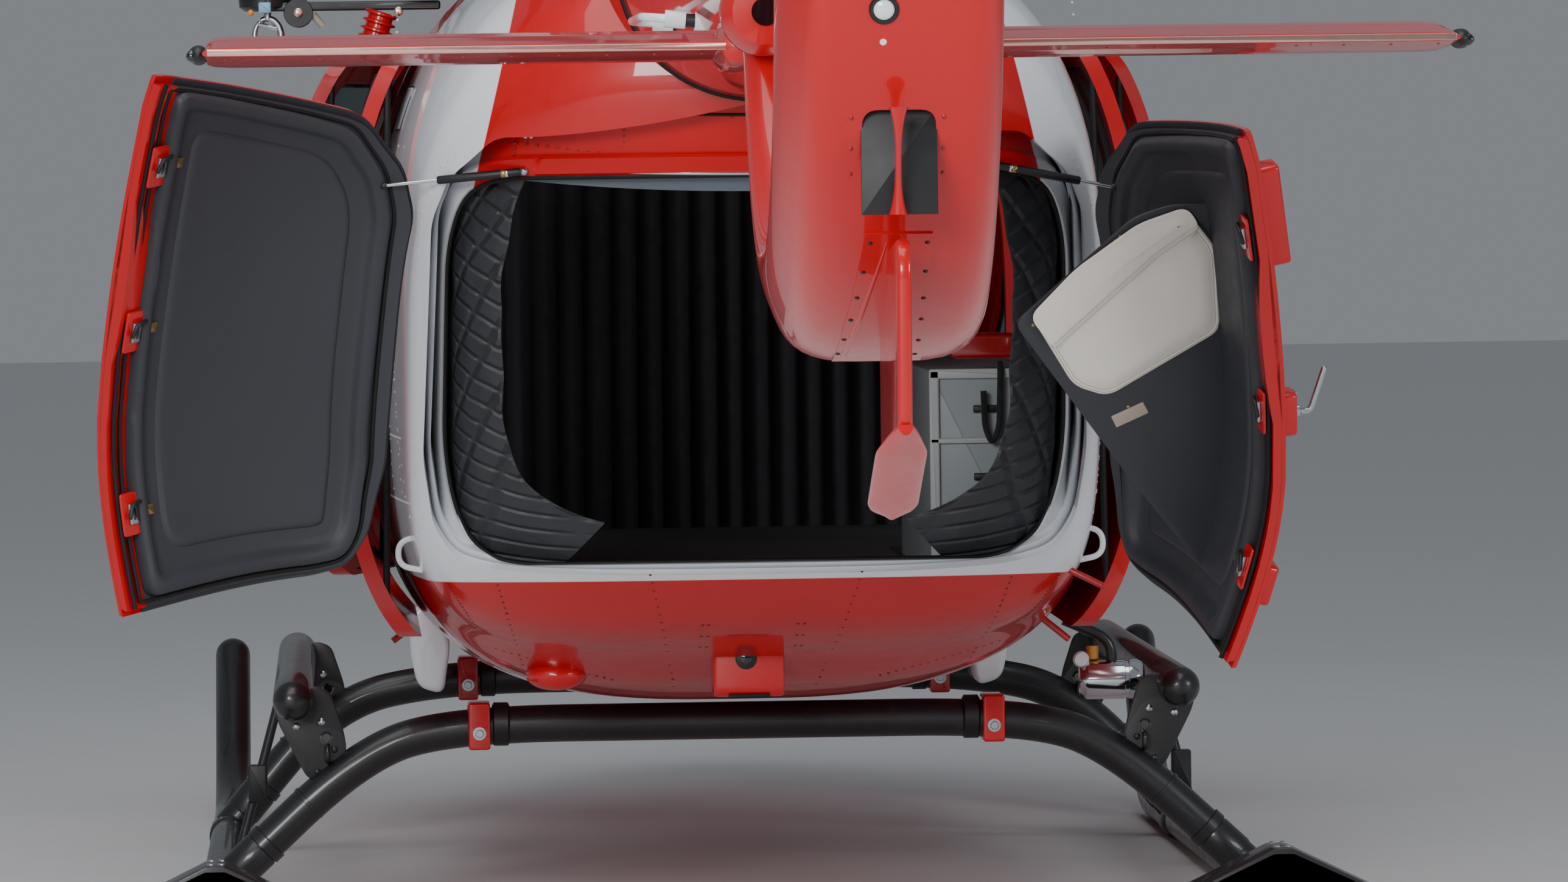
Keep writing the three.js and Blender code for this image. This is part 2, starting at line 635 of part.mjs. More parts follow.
const centre = [0, tailRotor.station, tailRotor.height];
const rim = Array.from({ length: shroud.rimSteps + 1 }, (_, i) => {
  const turn = (i / shroud.rimSteps) * (Math.PI / 2);
  const radius = shroud.radius - shroud.rim * (1 - Math.sin(turn));
  return [radius, shroud.half - shroud.rim * (1 - Math.cos(turn))];
});
const shroudProfile = [[0, shroud.half], ...rim];
const farFace = shroudProfile.map(([r, x]) => [r, -x]);
const shroudRing = turned([...farFace, ...shroudProfile.reverse()], centre, 36);
const finSections = [
  { at: 2500, from: 10080, to: 11480, half: 120 },
  { at: 3060, from: 10510, to: 11536, half: 82 },
  { at: 3950, from: 11060, to: 11646, half: 50 },
  { at: 4000, from: 11140, to: 11640, half: 30 },
];

// An upright surface with a rounded nose and a thin trailing edge
function finShape(sections) {
  const chordwise = [[0, 0], [0.08, 0.62], [0.3, 1], [0.7, 0.72], [1, 0.16]];
  const farSide = chordwise.slice(1).reverse().map(([t, w]) => [t, -w]);
  const ring = [...chordwise, ...farSide];
  const positions = [];
  for (const section of sections) {
    const chord = section.to - section.from;
    for (const [t, w] of ring) positions.push(-section.half * w, section.from + t * chord, section.at);
  }
  return ringed(positions, ring.length);
}

const ductLip = tailRotor.duct + 45;
const ductHalf = [[tailRotor.duct, 90], [ductLip, shroud.half], [ductLip + 15, 400], [0, 400]];
const ductCut = turned([...ductHalf.map(([r, x]) => [r, -x]).reverse(), ...ductHalf], centre, 36);
const neckSections = [
  { at: 9851, lean: 0, half: 159, low: 1886, high: 2329, wide: 2105, under: 2.1, over: 2.1 },
  { at: 10300, lean: 0, half: 150, low: 1850, high: 2520, wide: 2120, under: 2.2, over: 2.2 },
  { at: 10700, lean: 0, half: 140, low: 1800, high: 2700, wide: 2150, under: 2.4, over: 2.4 },
];
const bladeClear = bumperBlade.half + seamGap;
const finCuts = join(
  ductCut,
  block([-bladeClear, bladeClear], [10700, 12000], [900, bumperBlade.top + 10]),
  block([-aftSlot.halfWidth, aftSlot.halfWidth], [aftSlot.front, 12000], [aftSlot.low, aftSlot.high]),
);
const tailFin = join(shroudRing, finShape(finSections), loft(neckSections)).subtract(finCuts);
add("tail_fin", tailFin, "red");

const spanwise = { half: stabilizer.halfSpan, front: stabilizer.station - stabilizer.chord / 2 };
const aerofoil = [
  [0, 0], [30, 24], [120, 34], [300, 20], [400, 8], [400, -6], [300, -14], [120, -22], [30, -18],
];
function stabilizerShape(grow) {
  const points = aerofoil.map(([t, h]) => [spanwise.front + t, stabilizer.height + h]);
  const shape = new THREE.Shape(shrunk(points.reverse(), -grow).map((p) => new THREE.Vector2(...p)));
  const geometry = pushed(shape, 2 * spanwise.half, 1);
  geometry.applyMatrix4(toSide);
  geometry.translate(-spanwise.half, 0, 0);
  return solid(geometry);
}
add("stabilizer", stabilizerShape(0), "red");
add("tail_boom", loft(boomSections).subtract(stabilizerShape(seamGap)), "red");

const bladeRoot = 150;
const rotorParts = [bar([-45, centre[1], centre[2]], [45, centre[1], centre[2]], 160, 30)];
for (let i = 0; i < tailRotor.blades; i++) {
  const geometry = new THREE.BoxGeometry(14, 92, tailRotor.radius - bladeRoot);
  geometry.translate(0, 0, (tailRotor.radius + bladeRoot) / 2);
  geometry.rotateZ(degrees(28));
  geometry.rotateX(degrees((i * 360) / tailRotor.blades));
  geometry.translate(...centre);
  rotorParts.push(solid(geometry));
}
add("tail_rotor", join(...rotorParts), "blade");

const statorParts = [
  bar([60, centre[1], centre[2]], [210, centre[1], centre[2]], 130, 24, 90),
];
for (let i = 0; i < 11; i++) {
  const geometry = new THREE.BoxGeometry(60, 12, tailRotor.duct - 3 - 90);
  geometry.translate(105, 0, (tailRotor.duct - 3 + 90) / 2);
  geometry.rotateX(degrees(((i + 0.5) * 360) / 11));
  geometry.translate(...centre);
  statorParts.push(solid(geometry));
}
add("tail_gearbox", join(...statorParts), "grey");

const bumperOutline = [
  [10960, bumperBlade.top], [11490, bumperBlade.top], [11462, 1292], [11050, 1150], [10955, 1210],
];
const footOutline = [[11466, 1284], [11466, 1300], [11040, 1154], [11040, 1138]];
const bumper = join(
  sidePrism(bumperOutline, [-bumperBlade.half, bumperBlade.half], 20),
  sidePrism(footOutline, [-41.5, 41.5], 4),
);
add("tail_bumper", bumper, "red");

const rail = pipe([[200, 7420, 1990], [330, 7420, 2000], [330, 8180, 2000], [190, 8180, 1990]], 9, 40, 16, 6);
const railFeet = [7420, 8180].map((station) => bar([180, station, 1988], [272, station, 1996], 17, 10));
add("antenna_rail", join(rail, ...railFeet).subtract(loft(boomSections, -seamGap)), "white");

// Landing gear

const skidHeight = gear.tube;
// Roof-shaped plate over the rear end of a skid: x from the skid, height
const settlingPlate = [[-235, 60], [-20, 165], [20, 165], [235, 60], [235, 48], [-235, 48]];
function skidTube(sign, radius) {
  const x = sign * gear.halfTrack;
  const toe = [x, gear.skidFront, 430];
  const path = [toe, [x, gear.skidFront + 380, skidHeight], [x, gear.skidRear, skidHeight]];
  return pipe(path, radius, 220, 14, 12);
}

function crosstube(station, steep, radius) {
  const knee = gear.halfTrack - steep;
  const leg = [[gear.halfTrack, station, skidHeight + 4], [knee, station, 370], [640, station, 430]];
  const points = [...leg.map((point) => mirror(point, -1)), ...leg.reverse()];
  return pipe(points, radius, 90, 24, 10);
}

const crosstubes = [
  { name: "crosstube_front", station: gear.frontTube, steep: 260 },
  { name: "crosstube_rear", station: gear.rearTube, steep: 330 },
];
const skidClear = join(skidTube(1, gear.tube + seamGap), skidTube(-1, gear.tube + seamGap));
for (const { name, station, steep } of crosstubes) {
  const tube = crosstube(station, steep, gear.crossRadius);
  const along = [station - 62, station + 62];
  const brackets = sides.map(({ sign }) => block(span(sign, 565, 615), along, [375, 474]));
  const bare = join(tube, ...brackets).subtract(skidClear).subtract(bodyClear);
  add(name, bare.subtract(block(whole, [0, 7000], [-200, skidHeight])), "black");
}

for (const { name, sign } of sides) {
  const x = sign * gear.halfTrack;
  const slope = settlingPlate.map(([across, height]) => [x + across, height]);
  const plate = rearPrism(slope, [gear.skidRear - 240, gear.skidRear - 40], 6);
  add("skid_" + name, join(skidTube(sign, gear.tube), plate), "black");
}

for (const { name, sign } of sides) {
  const x = sign * 1015;
  const beam = join(
    bar([x, gear.frontTube - 120, 496], [x, gear.rearTube + 90, 496], 46, 20),
    ball([x, gear.rearTube + 90, 496], 46),
    ball([x, gear.frontTube - 120, 496], 46),
    ...crosstubes.map(({ station }) => block(span(sign, 925, 1060), [station - 9, station + 9], [330, 500])),
  );
  const tubes = crosstubes.map(({ station, steep }) => crosstube(station, steep, gear.crossRadius + 0.6));
  add("step_beam_" + name, beam.subtract(join(...tubes)), "black");
}

const lamp = turned([[0, -75], [40, -75], [46, -60], [46, 60], [38, 75], [0, 75]], [-880, 4420, 500], 24);
const lampArm = join(
  bar([-880, 4420, 500], [-880, 4420, 590], 14, 10),
  bar([-880, 4420, 586], [-760, 4420, 640], 14, 10),
);
add("searchlight", join(lamp, lampArm).subtract(bodyClear), "steel");

add("belly_sensor", block([-79, 79], [5180, 5360], [525, 700]).subtract(bodyClear), "black");

// Rescue hoist above the port door
const hoist = join(
  block([560, 700], [3020, 3400], [2100, 2330]),
  bar([680, 3210, 2230], [1110, 3210, 2310], 62, 16),
  bar([1060, 3210, 2330], [1060, 3210, 2170], 70, 18),
  bar([1060, 3210, 2172], [1060, 3210, 2060], 14, 10),
  bar([1060, 3195, 2040], [1060, 3225, 2040], 32, 14),
);
add("rescue_hoist", hoist.subtract(bodyClear).subtract(loft(cowlSections, -seamGap)), "black");

// Inside the cabin

const standing = hull.floorTop + seamGap;
const seatOutline = [
  [1700, 1130], [1720, 1215], [2060, 1190], [2150, 1840], [2235, 1840], [2190, 1130],
  [2180, standing], [2000, standing], [1960, 1090],
];
const panelOutline = [[820, standing], [760, 1060], [930, 1230], [1060, 1200], [1010, 1040], [960, standing]];
for (const { name, sign } of sides) {
  add("pilot_seat_" + name, sidePrism(seatOutline, span(sign, 130, 590), 12), "darkTrim");
}
add("instrument_panel", sidePrism(panelOutline, [-300, 300], 12), "black");
add("medical_cabinet", block([-660, -400], [4300, 5440], [standing, 1250]), "grey");

export default aircraft;
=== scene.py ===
import math

import bmesh
import bpy
import numpy as np
from mathutils import Matrix, Vector


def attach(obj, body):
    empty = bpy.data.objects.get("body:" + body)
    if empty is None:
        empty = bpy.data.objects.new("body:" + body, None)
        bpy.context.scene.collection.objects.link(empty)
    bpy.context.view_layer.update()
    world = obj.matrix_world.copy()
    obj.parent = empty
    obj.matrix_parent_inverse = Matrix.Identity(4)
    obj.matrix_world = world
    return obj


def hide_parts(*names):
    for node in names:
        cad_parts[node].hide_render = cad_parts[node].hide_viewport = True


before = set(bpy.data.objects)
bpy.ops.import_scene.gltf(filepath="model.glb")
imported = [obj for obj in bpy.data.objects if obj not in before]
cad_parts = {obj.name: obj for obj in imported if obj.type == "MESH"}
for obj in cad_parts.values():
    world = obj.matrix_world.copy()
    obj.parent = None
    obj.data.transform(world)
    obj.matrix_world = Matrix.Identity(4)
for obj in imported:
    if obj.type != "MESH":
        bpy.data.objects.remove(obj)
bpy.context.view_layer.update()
print("frame loaded")

# Shapes are worked out in millimetres as (across to port, station aft of the nose tip, height).
# makePiece turns them into the frame's metres.
originStation = 5640.0
sides = {"port": 1.0, "starboard": -1.0}
toPort, toStarboard, toAft, toTop = (1, 0, 0), (-1, 0, 0), (0, 1, 0), (0, 0, 1)


# A hex colour in sRGB turned linear: a straight foot, then a power of 2.4
def linear(hexText):
    value = np.array([int(hexText[i : i + 2], 16) / 255 for i in (1, 3, 5)])
    bent = ((value + 0.055) / 1.055) ** 2.4
    return (*(float(v) for v in np.where(value <= 0.04045, value / 12.92, bent)), 1.0)


# One node with its settings; each input is a value or a socket to link. Gives an output socket, or the node
def addNode(tree, kind, inputs, output=0, **settings):
    node = tree.nodes.new("ShaderNode" + kind)
    for key, value in settings.items():
        setattr(node, key, value)
    for key, value in inputs.items():
        if isinstance(value, bpy.types.NodeSocket):
            tree.links.new(value, node.inputs[key])
        else:
            node.inputs[key].default_value = value
    return node if output is None else node.outputs[output]


materials = {}


# What all finishes share: sizes in millimetres of the patches in which tint and gloss vary, and how far they do
surface = {"tintMm": 180.0, "glossMm": 45.0, "glossShare": 0.14, "glossLeast": 0.01, "grainStrength": 0.35,
           "coatRoughness": 0.03, "sheenRoughness": 0.4, "wornFrom": 0.6, "wornTo": 0.68}


# A dielectric or metal with a tint that drifts, dust in broad patches and a fine grain in its surface
def finish(name, colour, roughness, grainMm=1.2, grainDepth=0.05, metallic=0.0, coat=0.0, drift=0.06,
           wear=None, wearMm=60.0, sheen=0.0, specular=0.5):
    material = bpy.data.materials.new(name)
    material.use_nodes = True
    tree = material.node_tree
    shader = tree.nodes["Principled BSDF"]
    place = addNode(tree, "TexCoord", {}, "Object")
    patches = {"tint": (surface["tintMm"], 3.0, 0.5), "gloss": (surface["glossMm"], 5.0, 0.5),
               "grain": (grainMm, 2.0, 0.5), "worn": (wearMm, 8.0, 0.68)}
    for use, (sizeMm, detail, rough) in patches.items():
        if wear or use != "worn":
            inputs = {"Vector": place, "Scale": 1000.0 / sizeMm, "Detail": detail, "Roughness": rough}
            patches[use] = addNode(tree, "TexNoise", inputs, "Fac")
    base = linear(colour)[:3]
    darker, lighter = (tuple(min(1.0, c * share) for c in base) + (1.0,) for share in (1 - drift, 1 + drift))
    tint = addNode(tree, "Mix", {0: patches["tint"], 6: darker, 7: lighter}, 2, data_type="RGBA")
    gloss = addNode(tree, "MapRange", {"Value": patches["gloss"], "From Min": 0.25, "From Max": 0.75}, clamp=True)
    spread = surface["glossShare"] * roughness + surface["glossLeast"]
    gloss = addNode(tree, "MapRange", {"Value": gloss, "To Min": roughness - spread, "To Max": roughness + spread})
    if wear:
        worn = addNode(tree, "MapRange", {"Value": patches["worn"], "From Min": surface["wornFrom"],
                                          "From Max": surface["wornTo"]}, clamp=True)
        tint = addNode(tree, "Mix", {0: worn, 6: tint, 7: linear(wear)}, 2, data_type="RGBA")
    bump = addNode(tree, "Bump", {"Height": patches["grain"], "Strength": surface["grainStrength"],
                                  "Distance": grainDepth / 1000})
    for socket, key in ((tint, "Base Color"), (gloss, "Roughness"), (bump, "Normal")):
        tree.links.new(socket, shader.inputs[key])
    fixed = {"Metallic": metallic, "Specular IOR Level": specular}
    if coat:
        fixed.update({"Coat Weight": coat, "Coat Roughness": surface["coatRoughness"]})
    if sheen:
        fixed.update({"Sheen Weight": sheen, "Sheen Roughness": surface["sheenRoughness"]})
    for key, value in fixed.items():
        shader.inputs[key].default_value = value
    materials[name] = material
    return material, tree, shader, place


# Two-pack gloss paint: a clear coat over pigment, with the faint orange peel of a sprayed film
finish("glossRedPaint", "#c4020b", 0.32, 5.0, 0.012, coat=0.7, specular=0.35, drift=0.05)
# The same film over old red, nearly brown where bolts are painted in
finish("darkRedPaint", "#5e0508", 0.4, 5.0, 0.012, coat=0.6)
finish("redHardware", "#9c070c", 0.35, 4.0, 0.01, coat=0.5)
# The same film in white, bright and even
finish("glossWhitePaint", "#eceff4", 0.3, 5.0, 0.012, coat=0.8, drift=0.03)
# Powder coat on the landing gear, scuffed grey
finish("blackPowderCoat", "#1b1c1f", 0.38, 1.6, 0.06, wear="#2a2b2e", wearMm=35.0, coat=0.3)
# Moulded ABS door trim with a leather-like grain
finish("grainedTrim", "#33353b", 0.55, 2.2, 0.25, drift=0.05)
finish("flatTrimPanel", "#35373d", 0.5, 1.4, 0.08, drift=0.04)  # the same plastic pressed smooth
# Rubber is dull and nearly black
finish("sealRubber", "#141416", 0.6, 1.0, 0.05, specular=0.35)
# Tumbled stainless steel: bright with soft highlights
finish("bluntSteel", "#b8bcc2", 0.28, 0.8, 0.01, metallic=1.0)
# Hard chrome on a ground rod: a clear mirror
finish("polishedRod", "#dcdfe4", 0.12, 0.8, 0.004, metallic=1.0, drift=0.02)
finish("brightEdge", "#e3b4a8", 0.22, 1.0, 0.01, metallic=0.9)  # worn anodised aluminium with a warm cast
finish("darkMetal", "#3c3f44", 0.4, 1.0, 0.03, metallic=0.8)  # blackened steel: dark, with a dull shine
finish("blackPlastic", "#1a1b1d", 0.45, 1.2, 0.08)  # moulded nylon, even and slightly dull
finish("cabinetGrey", "#8e9699", 0.48, 1.6, 0.03)  # enamelled sheet, satin
finish("cabinLight", "#aeb3b1", 0.45, 1.6, 0.03)
finish("cabinBeige", "#a59d8c", 0.5, 1.6, 0.03)
finish("floorGrey", "#3a3c3e", 0.7, 2.5, 0.2)  # rubber matting, matt and rough
finish("bladeComposite", "#3c3f45", 0.42, 1.4, 0.03, drift=0.08)  # painted glass-fibre laminate, satin
finish("lensWhite", "#f4f6fa", 0.15, 3.0, 0.01, coat=1.0)  # clear glass over a white reflector
# Also the black of holes, slots, mouths, pipe ends and the grille's back: painted shade where there is only a hollow
finish("blackGlassAndPaintedShade", "#0c0d10", 0.08, 3.0, 0.002, coat=1.0)  # glass over a dark hollow: black with a sharp gloss
finish("amberPlastic", "#d98d2a", 0.35, coat=0.4)  # cast amber polycarbonate
finish("blueCap", "#8fc4dc", 0.4, coat=0.3)
finish("brassTab", "#a8905c", 0.35, 1.0, 0.01, metallic=0.9)  # yellow-passivated zinc plating, dull gold
finish("placardBeige", "#b5a596", 0.4, 1.5, 0.01)
finish("pouchThread", "#b9b4a6", 0.8, 1.0, 0.05)  # spun polyester thread, matt
finish("lintelGrey", "#59636c", 0.45, 2.0, 0.03)  # painted sheet in the frame's shadow
finish("rivetWhite", "#d4d8dc", 0.35, coat=0.5)
finish("rivetSkin", "#8d1a1e", 0.4, 2.0, 0.01)
finish("grilleGrey", "#9aa0a6", 0.4, 2.0, 0.02)


# Where red and light paint part, in metres: half width on the ground and what it loses per metre of height,
# the height under which the doorway's frame is light, and the sill, station and slope of the white quarters
livery = {"red": "#c4020b", "halfWidth": 1.005, "perHeight": 0.24, "frameLow": -1.599, "sill": 0.807,
          "quarter": -1.449, "slope": 0.75, "slopeFrom": 0.8, "soft": 0.001}


# Gloss red and a light colour, parted by a line that is 0.50 m out at 2.1 m high and wider lower down.
# On the body the light part is only the rear quarters, and round the doorway also all that lies low.
def partedPaint(name, light, where):
    coat = 0.15 if where == "doorway" else 0.7
    material, tree, shader, place = finish(name, livery["red"], 0.34, coat=coat, grainMm=5.0, grainDepth=0.012,
                                           drift=0.05, specular=0.35)
    x, y, z = addNode(tree, "SeparateXYZ", {"Vector": place}, None).outputs
    wide = addNode(tree, "Math", {0: x}, operation="ABSOLUTE")
    spine = addNode(tree, "Math", {0: z, 1: livery["perHeight"]}, operation="MULTIPLY")
    sunk = addNode(tree, "Math", {0: z, 1: -1.0}, operation="MULTIPLY")
    slope = addNode(tree, "Math", {0: z, 1: livery["slopeFrom"]}, operation="SUBTRACT")
    slope = addNode(tree, "Math", {0: slope, 1: livery["slope"]}, operation="MULTIPLY")
    limits = [("halfWidth", addNode(tree, "Math", {0: wide, 1: spine}, operation="ADD"), None)]
    if where != "cowl":
        limits.append(("frameLow", sunk, "MAXIMUM"))
    if where == "body":
        limits += [("sill", z, "MULTIPLY"),
                   ("quarter", addNode(tree, "Math", {0: y, 1: slope}, operation="SUBTRACT"), "MULTIPLY")]
    beyond = None
    for key, value, operation in limits:
        reach = {"Value": value, "From Min": livery[key] - livery["soft"], "From Max": livery[key] + livery["soft"]}
        part = addNode(tree, "MapRange", reach, clamp=True)
        beyond = addNode(tree, "Math", {0: beyond, 1: part}, operation=operation) if operation else part
    red = shader.inputs["Base Color"].links[0].from_socket
    tint = addNode(tree, "Mix", {0: beyond, 6: red, 7: linear(light)}, 2, data_type="RGBA")
    tree.links.new(tint, shader.inputs["Base Color"])


partedPaint("liveryPaint", "#e6eaf0", "body")
partedPaint("landingPaint", "#dfe3e8", "doorway")
partedPaint("lipPaint", "#d3d7da", "doorway")
partedPaint("cowlPaint", "#e6eaf0", "cowl")


# Tinted acrylic: clear, a little grey-green
def tintedPane():
    material, tree, shader, place = finish("tintedAcrylic", "#7f8c8c", 0.05, coat=0.4, grainMm=30.0,
                                           grainDepth=0.01, drift=0.02)
    shader.inputs["Transmission Weight"].default_value = 0.85
    shader.inputs["IOR"].default_value = 1.49


tintedPane()


# Woven cloth: warp and weft threads crossing, drawn coarser than the real 0.5 mm so that they show
def wovenCloth(name, colour, threadMm=3.0, depth=0.25):
    material, tree, shader, place = finish(name, colour, 0.85, grainMm=threadMm, grainDepth=0.2, sheen=0.3)
    bands = 1000 / threadMm / 3.2  # a wave texture draws about 3.2 bands for each unit of its scale
    warp, weft = (addNode(tree, "TexWave", {"Vector": place, "Scale": bands, "Distortion": 0.6}, "Fac",
                          bands_direction=way) for way in "XZ")
    height = addNode(tree, "Math", {0: warp, 1: weft}, operation="ADD")
    bump = addNode(tree, "Bump", {"Height": height, "Strength": 0.4, "Distance": depth / 1000})
    tree.links.new(bump, shader.inputs["Normal"])


wovenCloth("creamPouchCloth", "#efeae0")
wovenCloth("seatCloth", "#26272b")
wovenCloth("blackBinding", "#17181a")


quilt = {"cell": 0.035, "seam": 0.012, "wrinkleMm": 120.0, "wrinkle": 1.6, "strength": 0.8, "depth": 0.012}


# Quilted lining of coated cloth: stitched into 70 mm diamonds, with loose wrinkles between
def quiltedLining():
    material, tree, shader, place = finish("quiltedLining", "#2f3135", 0.5, 3.0, 0.1, drift=0.12)
    x, y, z = addNode(tree, "SeparateXYZ", {"Vector": place}, None).outputs
    rises = []
    for way in (1.0, -1.0):
        line = addNode(tree, "Math", {0: z, 1: way}, operation="MULTIPLY")
        line = addNode(tree, "Math", {0: line, 1: y}, operation="ADD")
        cell = addNode(tree, "Math", {0: line, 1: quilt["cell"]}, operation="PINGPONG")
        reach = {"Value": cell, "From Min": 0.0, "From Max": quilt["seam"]}
        rises.append(addNode(tree, "MapRange", reach, clamp=True))
    diamonds = addNode(tree, "Math", {0: rises[0], 1: rises[1]}, operation="MULTIPLY")
    wrinkle = addNode(tree, "TexNoise", {"Vector": place, "Scale": 1000.0 / quilt["wrinkleMm"], "Detail": 3.0,
                                         "Roughness": 0.5}, "Fac")
    wrinkle = addNode(tree, "Math", {0: wrinkle, 1: quilt["wrinkle"]}, operation="MULTIPLY")
    height = addNode(tree, "Math", {0: diamonds, 1: wrinkle}, operation="ADD")
    bump = addNode(tree, "Bump", {"Height": height, "Strength": quilt["strength"], "Distance": quilt["depth"]})
    tree.links.new(bump, shader.inputs["Normal"])


quiltedLining()


# Short names for the finishes that most pieces share
red, white, powder, plastic = "glossRedPaint", "glossWhitePaint", "blackPowderCoat", "blackPlastic"
steel, darkMetal, brass, rubber, blackGlassAndShade = "bluntSteel", "darkMetal", "brassTab", "sealRubber", "blackGlassAndPaintedShade"


# Quads of a grid of rows and columns, closed round either way if asked
def gridFaces(rows, columns, wrapRows=False, wrapColumns=False, start=0):
    r = np.arange(rows if wrapRows else rows - 1)[:, None]
    c = np.arange(columns if wrapColumns else columns - 1)[None, :]
    r2, c2 = (r + 1) % rows, (c + 1) % columns
    corners = [r * columns + c, r2 * columns + c, r2 * columns + c2, r * columns + c2]
    return (np.stack(np.broadcast_arrays(*corners), -1).reshape(-1, 4) + start).tolist()


# A grid of points, closed round its columns, with flat ends
def ringsPart(points, material, caps=(True, True)):
    rows, columns = points.shape[:2]
    faces = gridFaces(rows, columns, wrapColumns=True)
    if caps[0]:
        faces.append(list(range(columns)))
    if caps[1]:
        faces.append([(rows - 1) * columns + i for i in range(columns)][::-1])
    return points.reshape(-1, 3), faces, material


def unit(v):
    v = np.asarray(v, float)
    return v / np.maximum(np.linalg.norm(v, axis=-1, keepdims=True), 1e-12)


# Angles evenly round a circle
def circle(count):
    return np.linspace(0, 2 * np.pi, count, endpoint=False)


# Two directions square to an axis
def across(axis):
    axis = unit(axis)
    helper = np.array([0, 0, 1]) if abs(axis[2]) < 0.8 else np.array([1, 0, 0])
    first = unit(np.cross(helper, axis))
    return first, np.cross(axis, first)


hair = 0.01  # radius at which a turned profile meets its axis


# A profile of (radius, height) turned round an axis
def turned(profile, origin, axis, material, segments=40, caps=(True, True)):
    profile = np.asarray(profile, float)
    first, second = across(axis)
    angle = circle(segments)
    spokes = np.cos(angle)[:, None] * first + np.sin(angle)[:, None] * second
    points = np.asarray(origin, float) + profile[:, None, 1:2] * unit(axis) + profile[:, None, 0:1] * spokes[None]
    return ringsPart(points, material, caps)


# A round plug between two places along an axis
def plug(radius, low, high, origin, axis, material, segments=40):
    return turned([(hair, low), (radius, low), (radius, high), (hair, high)], origin, axis, material, segments)


# Straight runs whose corners are rounded by parabolas
def roundPath(points, bend, steps=8):
    points = np.asarray(points, float)
    t = np.linspace(0, 1, steps)[:, None]
    out = [points[:1]]
    for before, here, after in zip(points[:-2], points[1:-1], points[2:]):
        a = here + unit(before - here) * min(bend, np.linalg.norm(before - here) * 0.49)
        b = here + unit(after - here) * min(bend, np.linalg.norm(after - here) * 0.49)
        out.append((1 - t) ** 2 * a + 2 * t * (1 - t) * here + t**2 * b)
    out.append(points[-1:])
    return np.concatenate(out)


# A round section carried along a path, its ends flat or domed
def tube(path, radius, material, facets=20, dome=False):
    path = np.asarray(path, float)
    radius = np.broadcast_to(np.asarray(radius, float), (len(path),)).copy()
    tangent = unit(np.gradient(path, axis=0))
    mean = np.abs(tangent).mean(0)
    helper = np.eye(3)[int(np.argmin(mean))]
    first = unit(np.cross(tangent, helper))
    second = np.cross(tangent, first)
    if dome:
        swell = np.linspace(0, np.pi / 2, 6)[:-1]
        fore = path[0] - tangent[0] * (np.cos(swell) * radius[0])[:, None]
        aft = path[-1] + tangent[-1] * (np.sin(swell[1:]) * radius[-1])[:, None]
        path = np.concatenate([fore, path, aft])
        radius = np.concatenate([np.sin(swell) * radius[0] + 0.02, radius, np.cos(swell[1:]) * radius[-1]])
        first = np.concatenate([np.repeat(first[:1], 5, 0), first, np.repeat(first[-1:], 4, 0)])
        second = np.concatenate([np.repeat(second[:1], 5, 0), second, np.repeat(second[-1:], 4, 0)])
    angle = circle(facets)
    ring = np.cos(angle)[None, :, None] * first[:, None] + np.sin(angle)[None, :, None] * second[:, None]
    return ringsPart(path[:, None] + ring * radius[:, None, None], material)


# Corners of a closed outline rounded by parabolas
def rounded(points, radius, steps=6):
    points = np.asarray(points, float)
    before, after = np.roll(points, 1, 0), np.roll(points, -1, 0)
    reach = lambda far: np.minimum(radius, 0.48 * np.linalg.norm(far - points, axis=1))[:, None]
    a = points + unit(before - points) * reach(before)
    b = points + unit(after - points) * reach(after)
    t = np.linspace(0, 1, steps)[None, :, None]
    curve = (1 - t) ** 2 * a[:, None] + 2 * t * (1 - t) * points[:, None] + t**2 * b[:, None]
    return curve.reshape(-1, 2)


# A polygon with every edge moved inwards by gap, its corners mitred
def shrunk(points, gap):
    points = np.asarray(points, float)
    arrive, leave = unit(points - np.roll(points, 1, 0)), unit(np.roll(points, -1, 0) - points)
    area = np.sum(points[:, 0] * np.roll(points[:, 1], -1) - points[:, 1] * np.roll(points[:, 0], -1))
    quarter = lambda v: np.stack([-v[:, 1], v[:, 0]], -1) * np.sign(area)
    middle = unit(quarter(arrive) + quarter(leave))
    return points + middle * gap / np.sum(middle * quarter(arrive), -1, keepdims=True)


# Evenly spaced points along a curve
def resample(curve, count):
    curve = np.asarray(curve, float)
    run = np.concatenate([[0], np.cumsum(np.linalg.norm(np.diff(curve, axis=0), axis=1))])
    want = np.linspace(0, run[-1], count)
    return np.stack([np.interp(want, run, curve[:, k]) for k in range(curve.shape[1])], -1)


# Evenly spaced points round a closed outline, the first one repeated at the end if asked
def evenLoop(outline, count, repeat=False):
    loop = resample(np.concatenate([outline, outline[:1]]), count + 1)
    return loop if repeat else loop[:-1]


# Every point of a closed outline moved inwards by gap
def inward(outline, gap):
    edge = unit(np.roll(outline, -1, 0) - np.roll(outline, 1, 0))
    area = np.sum(outline[:, 0] * np.roll(outline[:, 1], -1) - outline[:, 1] * np.roll(outline[:, 0], -1))
    normal = np.stack([-edge[:, 1], edge[:, 0]], -1) * np.sign(area)
    return outline + normal * gap


# A plate: an outline given thickness, its rims rounded
def slab(outline, origin, along, up, thickness, material, bevel=1.5):
    outline = np.asarray(outline, float)
    along, up = unit(along), unit(up)
    out = np.cross(along, up)
    turn = np.linspace(0, np.pi / 2, 4)
    gaps = np.concatenate([bevel * (1 - np.sin(turn)), bevel * (1 - np.sin(turn[::-1]))])
    heights = np.concatenate([bevel * (1 - np.cos(turn)), thickness - bevel * (1 - np.cos(turn[::-1]))])
    rings = np.stack([inward(outline, g) for g in gaps])
    points = (np.asarray(origin, float) + rings[..., :1] * along + rings[..., 1:] * up
              + heights[:, None, None] * out)
    return ringsPart(points, material)


